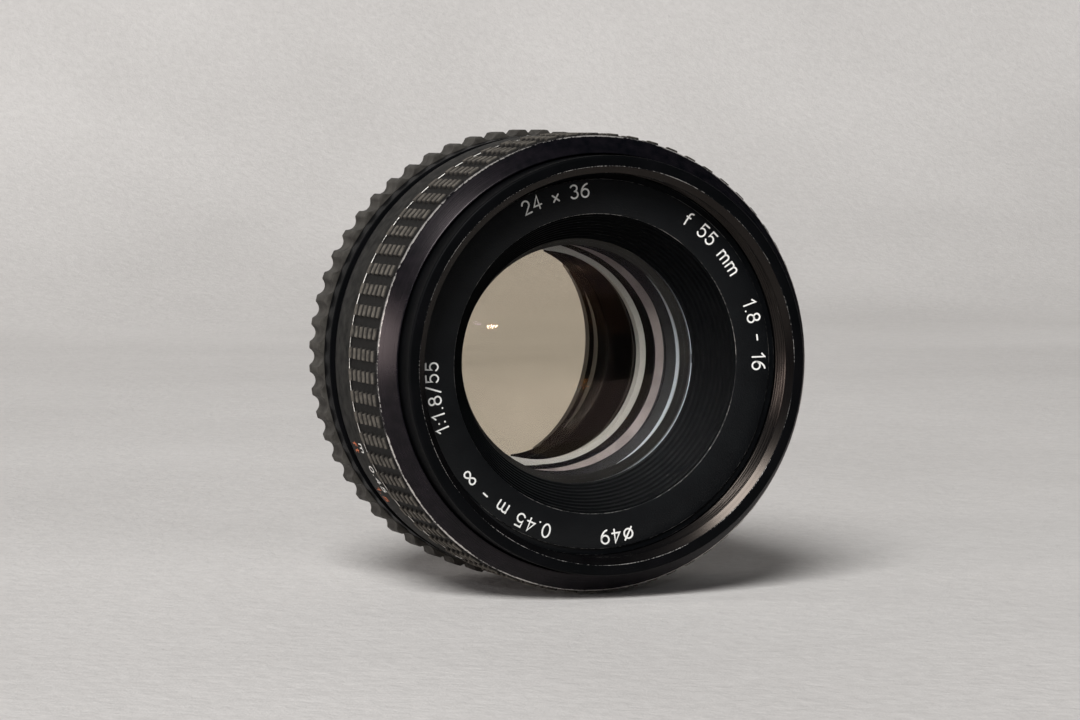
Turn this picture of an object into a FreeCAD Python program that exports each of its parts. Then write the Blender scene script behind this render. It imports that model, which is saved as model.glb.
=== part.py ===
import FreeCAD, Part
import math
import os
from collections import namedtuple

V = FreeCAD.Vector

# A 55 mm f/1.8 screw-mount camera lens, set at infinity with the iris fully open. Millimetres and degrees.
# Every piece is drawn about the optical axis: z = 0 is the face that seats on the camera, +z points to the
# subject, and angles run counter-clockwise as seen from the front, with 90 at the top. The last lines turn
# the lens level, so the subject is towards -Y and the top is +Z.

# Fits and play
FIT = 0.05              # radial clearance of every running fit
PLAY = 0.05             # end play of a captive ring
AIR = 0.4               # clear gap between pieces that pass without touching

# Camera mount, M42 x 1
THREAD_R = 21.0
THREAD_LENGTH = 5.0
THREAD_LEAD = 0.5       # chamfer at its start
MOUNT_WALL = 1.8
FLANGE_THICKNESS = 1.5
FLANGE_MARGIN = 0.6     # how far the flange stands outside the fixed barrel

# Glass: six elements in five groups. A radius is positive when its centre lies behind the surface.
Glass = namedtuple("Glass", "front_radius rear_radius thickness rim_r front_clear_r rear_clear_r")
ELEMENTS = {
    "element_1": Glass(36.5, 102.0, 4.6, 16.3, 16.3, 16.3),
    "element_2": Glass(22.0, 41.0, 4.6, 14.6, 14.6, 14.6),
    "element_3": Glass(43.0, 14.1, 1.5, 12.0, 12.0, 9.9),
    "element_4": Glass(-15.5, 66.0, 1.5, 11.6, 9.6, 11.6),
    "element_5": Glass(66.0, -22.7, 6.0, 11.6, 11.6, 11.6),
    "element_6": Glass(180.0, -51.0, 3.6, 13.0, 13.0, 13.0),
}
FRONT_VERTEX_Z = 28.6
GAP_AFTER = {"element_1": 0.2, "element_2": 1.0, "element_3": 10.3, "element_4": 0.0, "element_5": 0.3}

# Iris
BLADE_COUNT = 6
BLADE_THICKNESS = 0.12
BLADE_LAYER = 0.17      # one blade to the next along the axis
BLADE_TAIL = 6.0        # degrees of blade behind its pivot
BLADE_REACH = 125.0     # degrees of blade ahead of its pivot
PIVOT_R = 16.2
PIVOT_EAR_R = 1.2
CAM_ARM = 3.4           # pivot pin to cam pin
CAM_EAR_R = 0.95
BLADE_PIN_R = 0.45
STOP_OPEN_R = 9.2       # fixed hole that sets f/1.8
STOP_CLOSED_R = 1.02    # blade hole at f/16
IRIS_PLATE_THICKNESS = 0.65
DRIVE_RING_THICKNESS = 0.9
IRIS_WALL = 0.45
IRIS_FLOOR = 0.8
CAM_MARGIN = 1.8        # drive ring outside the cam pins

# Aperture ring and its coupling to the iris
APERTURE_TURN = 50.4    # from the first to the last f-number
F_NUMBERS = (1.8, 2.8, 4, 5.6, 8, 11, 16)
FINGER_ANGLE = 200.0
FINGER_WIDTH = 2.0
FINGER_THICKNESS = 0.8
FINGER_OVERRUN = 2.0    # finger left in front of the fork at the nearest focus
COUPLER_LENGTH = 2.1
COUPLER_PIN_R = 0.8
COUPLER_PIN_ANGLES = (20.0, 200.0)
SCALLOP_COUNT = 60
SCALLOP_DEPTH = 0.55
SCALLOP_LAND = 2.6      # degrees of full radius left between two scallops
SCALLOP_LENGTH = 4.4
NUMBER_BAND_LENGTH = 2.5
NUMBER_BAND_WALL = 2.65
APERTURE_GRIP_WALL = 3.45
CLICK_ANGLE = 60.0
CLICK_BALL_R = 0.8
CLICK_NOTCH_DEPTH = 0.3
CLICK_SPRING_SPAN = 34.0
CLICK_SPRING_THICKNESS = 0.25
CLICK_GROOVE_DEPTH = 0.85

# Barrels
LENS_BARREL_WALL = 1.75
FIXED_WALL = 1.8
FIXED_STEP_WALL = 3.1   # thicker wall behind the coupler
COLLAR_WIDTH = 1.45
COLLAR_THICKNESS = 1.3
REAR_WALL_LENGTH = 5.2
KEY_WIDTH = 3.0
KEY_LENGTH = 4.0
KEY_ANGLES = (0.0, 180.0)
CELL_WEB_THICKNESS = 2.0

# Focusing
FOCUS_TRAVEL = 9.2      # infinity to 0.45 m
FOCUS_WALL = 1.85       # metal under the rubber
RIM_COVER_WALL = 1.35   # metal outside the front rim
SCALE_BAND_STEP = 0.9   # scale band above the seat of the rubber
SCALE_BAND_LENGTH = 6.2
GRIP_LENGTH = 11.3
GRIP_BASE = 0.7
GRIP_COLUMN_HEIGHT = 0.5
GRIP_COLUMNS = 66
GRIP_CHANNEL_WIDTH = 1.0
FRONT_LIP_LENGTH = 0.3
CHAMFER_LENGTH = 1.8
FOCUS_FLANGE_THICKNESS = 1.3

# Housing and depth scale
HOUSING_FRONT_Z = 4.9
HOUSING_REAR_Z = 0.7
HOUSING_WALL = 2.5
HOUSING_CHAMFER = 1.1
DEPTH_RING_LENGTH = 2.5
DEPTH_RING_WALL = 2.1
RING_GAP = 0.1          # between rings that turn past each other
FOCUS_GAP = 0.3

# Front: M49 x 0.75 filter thread
FILTER_THREAD_R = 24.1
FILTER_DEPTH = 4.35
FILTER_RELIEF = 0.45    # undercut behind the thread
LIP_CHAMFER_WIDTH = 0.85
LIP_CHAMFER_DEPTH = 0.6
FRONT_RIM_WALL = 2.2
FRONT_RIM_LENGTH = 3.6  # how far it stands beyond the focus ring
NAME_RING_BORE_R = 18.9
NAME_RING_DISH = 0.35
NAME_RING_STEP = 0.8    # narrow lower step outside its face
NAME_RING_STEP_DEPTH = 0.3
NAME_RING_THICKNESS = 0.55
BAFFLE_RIDGES = 9
BAFFLE_THROAT_R = 15.6
BAFFLE_WALL = 1.1
BAFFLE_FLANGE = 0.8
BAFFLE_SEAT_WIDTH = 1.68

# Rear: cover, stop-down pin, automatic / manual switch
REAR_CELL_WALL = 1.2
COVER_THICKNESS = 0.7
COVER_REAR_Z = -4.3
PIN_ANGLE = 270.0
PIN_R = 0.9
PIN_STEM_R = 0.55
PIN_TIP_Z = -6.3
PIN_TRAVEL = 1.6
PIN_COLLAR_R = 1.45
PIN_COLLAR_THICKNESS = 0.5
PIN_BRACKET_Z = 1.2
PIN_BRACKET_THICKNESS = 0.8
SPRING_WIRE_R = 0.15
SPRING_TURNS = 6
SWITCH_ANGLE = 330.0
SWITCH_TURN = 12.0
SWITCH_WIDTH = 9.0      # degrees
SWITCH_TAIL_HEIGHT = 2.6
SWITCH_KNOB_HEIGHT = 1.7
SWITCH_KNOB_R_ADD = 0.9
SWITCH_Z = 2.9

# Screws
SCREW_R = 0.6
SCREW_HEAD_R = 1.1
MOUNT_SCREW_ANGLES = (45.0, 165.0, 285.0)
IRIS_SCREW_ANGLES = (75.0, 195.0, 315.0)

# Radii, from the iris outwards
blade_inner_r = STOP_OPEN_R + 0.2
blade_outer_r = PIVOT_R - BLADE_PIN_R - 0.45
drive_ring_bore_r = blade_outer_r + 0.1
iris_floor_bore_r = drive_ring_bore_r - 0.2
blade_turn = math.degrees(2 * math.asin((blade_inner_r - STOP_CLOSED_R) / (2 * PIVOT_R)))
cam_reach = math.hypot(PIVOT_R + CAM_ARM * math.sin(math.radians(blade_turn)),
                       CAM_ARM * math.cos(math.radians(blade_turn)))
iris_bore_r = cam_reach + CAM_MARGIN
iris_r = iris_bore_r + IRIS_WALL
finger_inner_r = iris_r + 0.5
finger_outer_r = finger_inner_r + FINGER_THICKNESS
lens_barrel_bore_r = finger_outer_r + 0.7
lens_barrel_r = lens_barrel_bore_r + LENS_BARREL_WALL
fixed_bore_r = lens_barrel_r + FIT
fixed_r = fixed_bore_r + FIXED_WALL
fixed_step_r = fixed_r - FIXED_STEP_WALL
coupler_r = fixed_bore_r - FIT
flange_r = fixed_r + FLANGE_MARGIN
housing_r = fixed_r + HOUSING_WALL
aperture_bore_r = fixed_r + FIT
number_band_r = aperture_bore_r + NUMBER_BAND_WALL
aperture_grip_r = aperture_bore_r + APERTURE_GRIP_WALL
depth_ring_r = fixed_r + DEPTH_RING_WALL
front_rim_r = max(FILTER_THREAD_R, lens_barrel_r) + FRONT_RIM_WALL - FIT
focus_front_bore_r = front_rim_r + 0.25
focus_bore_r = fixed_r + FIT
grip_seat_r = max(focus_bore_r + FOCUS_WALL, focus_front_bore_r + RIM_COVER_WALL)
scale_band_r = grip_seat_r + SCALE_BAND_STEP
grip_base_r = grip_seat_r + GRIP_BASE
grip_r = grip_base_r + GRIP_COLUMN_HEIGHT
collar_r = lens_barrel_r + COLLAR_WIDTH
baffle_seat_r = min(lens_barrel_bore_r, FILTER_THREAD_R - BAFFLE_SEAT_WIDTH)
focus_edge_r = max(grip_r - 0.1, focus_front_bore_r + 0.5)
mount_bore_r = THREAD_R - MOUNT_WALL
rear_clamp_r = ELEMENTS["element_6"].rim_r + 1.0
rear_cell_r = rear_clamp_r + REAR_CELL_WALL
pin_centre_r = (rear_cell_r + AIR + mount_bore_r) / 2

# Heights along the axis, from the mount forwards
aperture_rear_z = HOUSING_FRONT_Z + RING_GAP
number_band_z = aperture_rear_z + SCALLOP_LENGTH
aperture_front_z = number_band_z + NUMBER_BAND_LENGTH
depth_ring_z = aperture_front_z + RING_GAP
depth_ring_front_z = depth_ring_z + DEPTH_RING_LENGTH
focus_rear_z = depth_ring_front_z + FOCUS_GAP
grip_z = focus_rear_z + SCALE_BAND_LENGTH
grip_front_z = grip_z + GRIP_LENGTH
focus_edge_z = grip_front_z + FRONT_LIP_LENGTH
focus_front_z = focus_edge_z + CHAMFER_LENGTH
front_z = focus_front_z + FRONT_RIM_LENGTH
name_ring_z = front_z - FILTER_DEPTH - NAME_RING_THICKNESS
baffle_flange_z = name_ring_z - BAFFLE_FLANGE
rim_shoulder_z = baffle_flange_z - 0.5
focus_flange_z = rim_shoulder_z - PLAY - FOCUS_FLANGE_THICKNESS
collar_front_z = focus_flange_z - PLAY
collar_rear_z = collar_front_z - COLLAR_THICKNESS
fixed_front_z = collar_rear_z - AIR
coupler_z = REAR_WALL_LENGTH + PLAY
coupler_front_z = coupler_z + COUPLER_LENGTH
snap_ring_z = coupler_front_z + PLAY
snap_ring_front_z = snap_ring_z + 0.5
lens_barrel_rear_z = snap_ring_front_z + 0.3
key_rear_z = lens_barrel_rear_z + FOCUS_TRAVEL + 0.6
click_z = snap_ring_front_z + 0.7


# Shared shapes
def turned(points, sweep=360.0):
    """Solid of revolution about the axis, from an outline of (r, z) corners, starting at angle 0."""
    corners = [V(r, 0, z) for r, z in points]
    outline = Part.makePolygon(corners + corners[:1])
    return Part.Face(outline).revolve(V(0, 0, 0), V(0, 0, 1), sweep)


def ring(inner_r, outer_r, rear_z, front_z):
    return turned([(inner_r, rear_z), (outer_r, rear_z), (outer_r, front_z), (inner_r, front_z)])


def sector(inner_r, outer_r, rear_z, front_z, centre, width):
    """Part of a ring, width degrees wide about the angle centre."""
    corners = [(inner_r, rear_z), (outer_r, rear_z), (outer_r, front_z), (inner_r, front_z)]
    return at_angle(turned(corners, width), centre - width / 2)


def at_angle(shape, angle):
    turned_copy = shape.copy()
    turned_copy.rotate(V(0, 0, 0), V(0, 0, 1), angle)
    return turned_copy


def polar(r, angle, z=0.0):
    return V(r * math.cos(math.radians(angle)), r * math.sin(math.radians(angle)), z)


def axial_pin(pin_r, centre_r, angle, rear_z, front_z):
    """Round bar along the axis."""
    return Part.makeCylinder(pin_r, front_z - rear_z, polar(centre_r, angle, rear_z), V(0, 0, 1))


def radial_pin(pin_r, inner_r, outer_r, angle, z):
    """Round bar across the axis, pointing outwards."""
    return Part.makeCylinder(pin_r, outer_r - inner_r, polar(inner_r, angle, z), polar(1, angle))


def degrees_at(width, r):
    """Angle that a width takes up at a radius."""
    return math.degrees(width / r)


def sag(radius, r):
    return math.copysign(abs(radius) - math.sqrt(radius ** 2 - r ** 2), radius)


def front_face_z(name, r):
    """Height of an element's front face at a radius, flat outside its polished part."""
    element = ELEMENTS[name]
    return vertex_z[name] - sag(element.front_radius, min(r, element.front_clear_r))


def rear_face_z(name, r):
    element = ELEMENTS[name]
    return vertex_z[name] - element.thickness - sag(element.rear_radius, min(r, element.rear_clear_r))


def glass_element(name):
    """One lens element: two spherical faces and a ground rim."""
    element = ELEMENTS[name]
    front_clear = element.front_clear_r
    rear_clear = element.rear_clear_r
    front_arc = [V(r, 0, front_face_z(name, r)) for r in (0, front_clear / 2, front_clear)]
    rear_arc = [V(r, 0, rear_face_z(name, r)) for r in (rear_clear, rear_clear / 2, 0)]
    rim_front = V(element.rim_r, 0, front_arc[2].z)
    rim_rear = V(element.rim_r, 0, rear_arc[0].z)
    edges = [Part.Arc(*front_arc).toShape()]
    if front_clear < element.rim_r:
        edges.append(Part.makeLine(front_arc[2], rim_front))
    edges.append(Part.makeLine(rim_front, rim_rear))
    if rear_clear < element.rim_r:
        edges.append(Part.makeLine(rim_rear, rear_arc[0]))
    edges.append(Part.Arc(*rear_arc).toShape())
    edges.append(Part.makeLine(rear_arc[2], front_arc[0]))
    return Part.Face(Part.Wire(edges)).revolve(V(0, 0, 0), V(0, 0, 1), 360)


# Where each element's front vertex lies
vertex_z = {}
next_vertex = FRONT_VERTEX_Z
for element_name in ELEMENTS:
    vertex_z[element_name] = next_vertex
    next_vertex -= ELEMENTS[element_name].thickness + GAP_AFTER.get(element_name, 0)

# Heights around the iris, from its plate backwards
cell_rear_z = rear_face_z("element_3", ELEMENTS["element_3"].rim_r) - 0.6
iris_plate_rear_z = cell_rear_z - IRIS_PLATE_THICKNESS
first_blade_z = iris_plate_rear_z - 0.05 - BLADE_THICKNESS
last_blade_z = first_blade_z - (BLADE_COUNT - 1) * BLADE_LAYER
drive_ring_front_z = last_blade_z - 0.08
drive_ring_rear_z = drive_ring_front_z - DRIVE_RING_THICKNESS
iris_floor_front_z = drive_ring_rear_z - PLAY
iris_floor_rear_z = iris_floor_front_z - IRIS_FLOOR
finger_tip_z = drive_ring_front_z + FOCUS_TRAVEL + FINGER_OVERRUN
cell_web_z = finger_tip_z + 0.5


# Mount and fixed shells
def mount_ring():
    """Threaded tube and flange that seat on the camera, with countersinks for three screws."""
    body = turned([
        (mount_bore_r, -THREAD_LENGTH), (THREAD_R - THREAD_LEAD, -THREAD_LENGTH),
        (THREAD_R, THREAD_LEAD - THREAD_LENGTH), (THREAD_R, 0), (flange_r - 0.3, 0), (flange_r, 0.3),
        (flange_r, FLANGE_THICKNESS), (mount_bore_r, FLANGE_THICKNESS),
    ])
    return body.cut(mount_screws())


def mount_screws():
    """Countersunk screws that hold the mount ring to the fixed barrel."""
    screws = []
    centre_r = fixed_bore_r + FIXED_WALL / 2
    for angle in MOUNT_SCREW_ANGLES:
        head = Part.makeCone(SCREW_HEAD_R, SCREW_R, 0.6, polar(centre_r, angle), V(0, 0, 1))
        screws.append(head.fuse(axial_pin(SCREW_R, centre_r, angle, 0.6, FLANGE_THICKNESS + 2.2)))
    return Part.makeCompound(screws)


def fixed_barrel():
    """Tube that carries every ring: bore for the sliding barrel, helicoid outside, coupling windows."""
    body = turned([
        (fixed_step_r, FLANGE_THICKNESS), (fixed_r, FLANGE_THICKNESS), (fixed_r, fixed_front_z - 0.4),
        (fixed_r - 0.4, fixed_front_z), (fixed_bore_r, fixed_front_z), (fixed_bore_r, REAR_WALL_LENGTH),
        (fixed_step_r, REAR_WALL_LENGTH),
    ])
    pin_z = coupler_z + COUPLER_LENGTH / 2
    pin_margin = degrees_at(2 * COUPLER_PIN_R + AIR, fixed_bore_r)
    window_rear_z = pin_z - COUPLER_PIN_R - 0.1
    window_front_z = pin_z + COUPLER_PIN_R + 0.1
    cuts = [mount_screws(), guide_key_screws()]
    for angle in COUPLER_PIN_ANGLES:
        window_centre = angle + APERTURE_TURN / 2
        cuts.append(sector(fixed_step_r, fixed_r + 1, window_rear_z, window_front_z, window_centre,
                           APERTURE_TURN + pin_margin))
    groove_half_width = CLICK_BALL_R + 0.05
    cuts.append(sector(fixed_r - CLICK_GROOVE_DEPTH, fixed_r + 1, click_z, click_z + 2 * groove_half_width,
                       CLICK_ANGLE, CLICK_SPRING_SPAN + 4))
    return body.cut(Part.makeCompound(cuts))


def guide_keys():
    """Two keys in the bore that stop the lens barrel from turning while it slides."""
    keys = []
    for angle in KEY_ANGLES:
        key = sector(lens_barrel_bore_r + 0.2, fixed_bore_r, key_rear_z, key_rear_z + KEY_LENGTH, angle,
                     degrees_at(KEY_WIDTH, fixed_bore_r))
        keys.append(key.cut(guide_key_screws()))
    return Part.makeCompound(keys)


def guide_key_screws():
    screws = []
    key_middle_z = key_rear_z + KEY_LENGTH / 2
    for angle in KEY_ANGLES:
        shank = radial_pin(SCREW_R, fixed_bore_r - 0.9, fixed_r - 0.2, angle, key_middle_z)
        head = radial_pin(SCREW_HEAD_R, fixed_r - 0.8, fixed_r - 0.2, angle, key_middle_z)
        screws.append(shank.fuse(head))
    return Part.makeCompound(screws)


def rear_housing():
    """Fixed rear shell behind the aperture ring, with a T-slot for the automatic / manual switch."""
    body = turned([
        (flange_r, HOUSING_REAR_Z), (housing_r - HOUSING_CHAMFER, HOUSING_REAR_Z),
        (housing_r, HOUSING_REAR_Z + HOUSING_CHAMFER), (housing_r, HOUSING_FRONT_Z - 0.2),
        (housing_r - 0.2, HOUSING_FRONT_Z), (fixed_r, HOUSING_FRONT_Z), (fixed_r, FLANGE_THICKNESS),
        (flange_r, FLANGE_THICKNESS),
    ])
    centre = SWITCH_ANGLE + SWITCH_TURN / 2
    tail_half = SWITCH_TAIL_HEIGHT / 2 + 0.1
    knob_half = SWITCH_KNOB_HEIGHT / 2 + 0.1
    slot_width = SWITCH_WIDTH + SWITCH_TURN + 1
    tail_track = sector(fixed_r - 1, switch_ledge_r() + 0.05, SWITCH_Z - tail_half, SWITCH_Z + tail_half,
                        centre, slot_width)
    knob_track = sector(fixed_r, housing_r + 1, SWITCH_Z - knob_half, SWITCH_Z + knob_half, centre,
                        slot_width - SWITCH_WIDTH / 3)
    return body.cut(tail_track.fuse(knob_track))


def switch_ledge_r():
    """Radius where the wide tail of the switch ends and its knob begins."""
    return fixed_r + 1.5


def auto_manual_switch():
    """Sliding switch: a wide tail behind the wall and a ribbed knob outside it."""
    tail = sector(fixed_r + 0.1, switch_ledge_r(), SWITCH_Z - SWITCH_TAIL_HEIGHT / 2,
                  SWITCH_Z + SWITCH_TAIL_HEIGHT / 2, SWITCH_ANGLE, SWITCH_WIDTH)
    knob_r = housing_r + SWITCH_KNOB_R_ADD
    knob = sector(switch_ledge_r(), knob_r, SWITCH_Z - SWITCH_KNOB_HEIGHT / 2,
                  SWITCH_Z + SWITCH_KNOB_HEIGHT / 2, SWITCH_ANGLE, SWITCH_WIDTH * 2 / 3)
    body = tail.fuse(knob)
    rib_count = 3
    rib_pitch = SWITCH_WIDTH / 6
    for rib in range(rib_count):
        angle = SWITCH_ANGLE + (rib - (rib_count - 1) / 2) * rib_pitch
        groove = axial_pin(0.22, knob_r, angle, 0, HOUSING_FRONT_Z)
        body = body.cut(groove)
    return body


def depth_scale_ring():
    return turned([
        (fixed_r, depth_ring_z), (depth_ring_r, depth_ring_z), (depth_ring_r, depth_ring_front_z - 0.3),
        (depth_ring_r - 0.3, depth_ring_front_z), (fixed_r, depth_ring_front_z),
    ])


def rear_cover():
    """Black plate inside the mount, round the rear cell, with the hole of the stop-down pin."""
    plate = ring(rear_cell_r + AIR, mount_bore_r, COVER_REAR_Z, COVER_REAR_Z + COVER_THICKNESS)
    hole = axial_pin(PIN_R + FIT, pin_centre_r, PIN_ANGLE, COVER_REAR_Z - 1, 0)
    return plate.cut(hole)


def pin_bracket():
    """Lug inside the mount that guides the stem of the stop-down pin and backs its spring."""
    lug = sector(pin_centre_r - 1.3, mount_bore_r, PIN_BRACKET_Z - PIN_BRACKET_THICKNESS, PIN_BRACKET_Z,
                 PIN_ANGLE, 24)
    hole = axial_pin(PIN_STEM_R + FIT, pin_centre_r, PIN_ANGLE, -THREAD_LENGTH, PIN_BRACKET_Z + 1)
    return lug.cut(hole)


def aperture_pin():
    """Pin that the camera presses to stop the iris down: round nose, collar behind the cover, thin stem."""
    collar_z = COVER_REAR_Z + COVER_THICKNESS + 0.02
    stem_z = collar_z + PIN_COLLAR_THICKNESS
    nose_z = PIN_TIP_Z + PIN_R
    nose = Part.makeSphere(PIN_R, polar(pin_centre_r, PIN_ANGLE, nose_z))
    body = axial_pin(PIN_R, pin_centre_r, PIN_ANGLE, nose_z, stem_z).fuse(nose)
    collar = axial_pin(PIN_COLLAR_R, pin_centre_r, PIN_ANGLE, collar_z, stem_z)
    stem = axial_pin(PIN_STEM_R, pin_centre_r, PIN_ANGLE, stem_z, PIN_BRACKET_Z + 0.3)
    return body.fuse([collar, stem]).removeSplitter()


def pin_spring():
    """Return spring of the pin: a coil between its collar and the bracket."""
    bottom = COVER_REAR_Z + COVER_THICKNESS + PIN_COLLAR_THICKNESS + 0.02 + SPRING_WIRE_R
    top = PIN_BRACKET_Z - PIN_BRACKET_THICKNESS - SPRING_WIRE_R
    coil_r = PIN_STEM_R + 0.2 + SPRING_WIRE_R
    path = Part.makeHelix((top - bottom) / SPRING_TURNS, top - bottom, coil_r)
    wire_section = Part.Wire(Part.makeCircle(SPRING_WIRE_R, V(coil_r, 0, 0), V(0, 1, 0)))
    coil = Part.Wire(path).makePipeShell([wire_section], True, True)
    coil.translate(polar(pin_centre_r, PIN_ANGLE, bottom))
    return coil


# Aperture ring and what turns with it
def aperture_ring():
    """Scalloped grip with a number band in front; a click track inside."""
    track_r = click_top_r() + 0.1
    land_rear_z = click_z - 0.4
    land_front_z = click_z + 2 * CLICK_BALL_R + 0.6
    body = turned([
        (aperture_bore_r, aperture_rear_z), (aperture_grip_r - 0.15, aperture_rear_z),
        (aperture_grip_r, aperture_rear_z + 0.15), (aperture_grip_r, number_band_z - 0.15),
        (aperture_grip_r - 0.15, number_band_z), (number_band_r, number_band_z),
        (number_band_r, aperture_front_z - 0.15), (number_band_r - 0.15, aperture_front_z),
        (aperture_bore_r, aperture_front_z), (aperture_bore_r, land_front_z), (track_r, land_front_z),
        (track_r, land_rear_z), (aperture_bore_r, land_rear_z),
    ])
    pitch = 360.0 / SCALLOP_COUNT
    half_chord = aperture_grip_r * math.sin(math.radians(pitch - SCALLOP_LAND) / 2)
    cutter_r = (half_chord ** 2 + SCALLOP_DEPTH ** 2) / (2 * SCALLOP_DEPTH)
    cutter_centre_r = aperture_grip_r - SCALLOP_DEPTH + cutter_r
    cuts = [coupler_pins()]
    for index in range(SCALLOP_COUNT):
        cuts.append(axial_pin(cutter_r, cutter_centre_r, index * pitch, aperture_rear_z - 1, number_band_z))
    notch_r = 0.6
    notch_centre_r = track_r + CLICK_NOTCH_DEPTH - notch_r
    for f_number in F_NUMBERS:
        notch_angle = CLICK_ANGLE - ring_turn(f_number)
        cuts.append(axial_pin(notch_r, notch_centre_r, notch_angle, land_rear_z, land_front_z))
    return body.cut(Part.makeCompound(cuts))


def ring_turn(f_number):
    """Turn of the aperture ring from its first f-number: equal steps for equal stops."""
    stops = math.log(f_number / F_NUMBERS[0])
    return APERTURE_TURN * stops / math.log(F_NUMBERS[-1] / F_NUMBERS[0])


def click_top_r():
    """Radius that the click ball reaches between two notches."""
    return fixed_r - CLICK_GROOVE_DEPTH + CLICK_SPRING_THICKNESS + 2 * CLICK_BALL_R


def click_ball():
    centre = polar(click_top_r() - CLICK_BALL_R, CLICK_ANGLE, click_z + CLICK_BALL_R + 0.05)
    return Part.makeSphere(CLICK_BALL_R, centre)


def click_spring():
    """Leaf spring in its groove, under the click ball."""
    floor_r = fixed_r - CLICK_GROOVE_DEPTH
    rear_z = click_z + 0.15
    front_z = click_z + 2 * CLICK_BALL_R - 0.05
    return sector(floor_r, floor_r + CLICK_SPRING_THICKNESS, rear_z, front_z, CLICK_ANGLE, CLICK_SPRING_SPAN)


def aperture_coupler():
    """Inner ring turned by the aperture ring, with the long finger that reaches forward to the iris."""
    body = ring(finger_inner_r, coupler_r, coupler_z, coupler_front_z)
    finger = sector(finger_inner_r, finger_outer_r, coupler_z, finger_tip_z, FINGER_ANGLE,
                    degrees_at(FINGER_WIDTH, finger_outer_r))
    return body.fuse(finger).cut(coupler_pins()).removeSplitter()


def coupler_pins():
    """Screws that join the aperture ring to the coupler through the windows of the fixed barrel."""
    pin_z = coupler_z + COUPLER_LENGTH / 2
    inner_r = fixed_bore_r - 1.3
    outer_r = fixed_r + 1.2
    return Part.makeCompound([
        radial_pin(COUPLER_PIN_R, inner_r, outer_r, angle, pin_z) for angle in COUPLER_PIN_ANGLES
    ])


def coupler_snap_ring():
    """Split ring that keeps the coupler against its shoulder."""
    gap = sector(fixed_step_r - 1, fixed_bore_r + 1, snap_ring_z - 1, snap_ring_front_z + 1, 320, 12)
    return ring(fixed_step_r, fixed_bore_r, snap_ring_z, snap_ring_front_z).cut(gap)


# Sliding barrel and front
def lens_barrel():
    """Sliding tube that carries the optics: key slots, web for the front cell, collar for the focus ring.

    Where its bore is wider than the baffle's flange, a lip in its front carries the baffle.
    """
    web_r = iris_r
    body = turned([
        (lens_barrel_bore_r, lens_barrel_rear_z), (lens_barrel_r, lens_barrel_rear_z),
        (lens_barrel_r, collar_rear_z), (collar_r, collar_rear_z), (collar_r, collar_front_z),
        (lens_barrel_r, collar_front_z), (lens_barrel_r, baffle_flange_z),
        (lens_barrel_bore_r, baffle_flange_z), (lens_barrel_bore_r, cell_web_z + CELL_WEB_THICKNESS),
        (web_r, cell_web_z + CELL_WEB_THICKNESS), (web_r, cell_web_z), (lens_barrel_bore_r, cell_web_z),
    ])
    if baffle_seat_r < lens_barrel_bore_r:
        body = body.fuse(ring(baffle_seat_r, lens_barrel_bore_r, baffle_flange_z - 1.0, baffle_flange_z))
    slot_width = degrees_at(KEY_WIDTH + 2 * FIT, lens_barrel_r)
    slots = [
        sector(lens_barrel_bore_r - 0.05, lens_barrel_r + 1, lens_barrel_rear_z - 1,
               key_rear_z + KEY_LENGTH + 0.2, angle, slot_width)
        for angle in KEY_ANGLES
    ]
    return body.cut(Part.makeCompound(slots))


def front_rim():
    """Filter ring: skirt over the lens barrel, shoulder that keeps the focus ring, bore for the thread."""
    lip_round = 0.5
    thread_end_z = name_ring_z + NAME_RING_THICKNESS + 0.1
    relief_r = max(FILTER_THREAD_R, lens_barrel_r) + FILTER_RELIEF
    return turned([
        (lens_barrel_r, rim_shoulder_z), (front_rim_r, rim_shoulder_z), (front_rim_r, front_z - lip_round),
        (front_rim_r - lip_round / 2, front_z), (FILTER_THREAD_R + LIP_CHAMFER_WIDTH, front_z),
        (FILTER_THREAD_R, front_z - LIP_CHAMFER_DEPTH), (FILTER_THREAD_R, thread_end_z),
        (relief_r, thread_end_z),
        (relief_r, baffle_flange_z), (lens_barrel_r, baffle_flange_z),
    ])


def name_ring():
    """Dished ring in front of the baffle, with a lower step round its face."""
    outer_r = FILTER_THREAD_R - 0.02
    face_r = FILTER_THREAD_R - NAME_RING_STEP
    face_z = name_ring_z + NAME_RING_THICKNESS
    step_z = face_z - NAME_RING_STEP_DEPTH
    return turned([
        (NAME_RING_BORE_R, name_ring_z), (outer_r, name_ring_z), (outer_r, step_z), (face_r, step_z),
        (face_r, face_z), (NAME_RING_BORE_R, face_z - NAME_RING_DISH),
    ])


def front_baffle():
    """Funnel from the name ring down to the glass, its inside cut into ridges that stop stray light."""
    throat_z = clamp_front_z() + 0.1
    top_z = name_ring_z
    rise = (top_z - throat_z) / BAFFLE_RIDGES
    widen = (NAME_RING_BORE_R - BAFFLE_THROAT_R) / BAFFLE_RIDGES
    inside = []
    for ridge in range(BAFFLE_RIDGES):
        foot_r = BAFFLE_THROAT_R + ridge * widen
        foot_z = throat_z + ridge * rise
        inside += [(foot_r, foot_z), (foot_r + widen * 0.35, foot_z + rise * 0.8)]
    outer_r = FILTER_THREAD_R - 0.02
    outline = inside + [
        (NAME_RING_BORE_R, top_z), (outer_r, top_z), (outer_r, baffle_flange_z),
        (NAME_RING_BORE_R + BAFFLE_WALL, baffle_flange_z), (BAFFLE_THROAT_R + BAFFLE_WALL, throat_z),
    ]
    return turned(outline)


# Front cell
def clamp_front_z():
    """Front of the ring that clamps element 1."""
    return front_face_z("element_1", clamp_bore_r()) + 1.05


def clamp_bore_r():
    return ELEMENTS["element_1"].rim_r - 0.55


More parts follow.
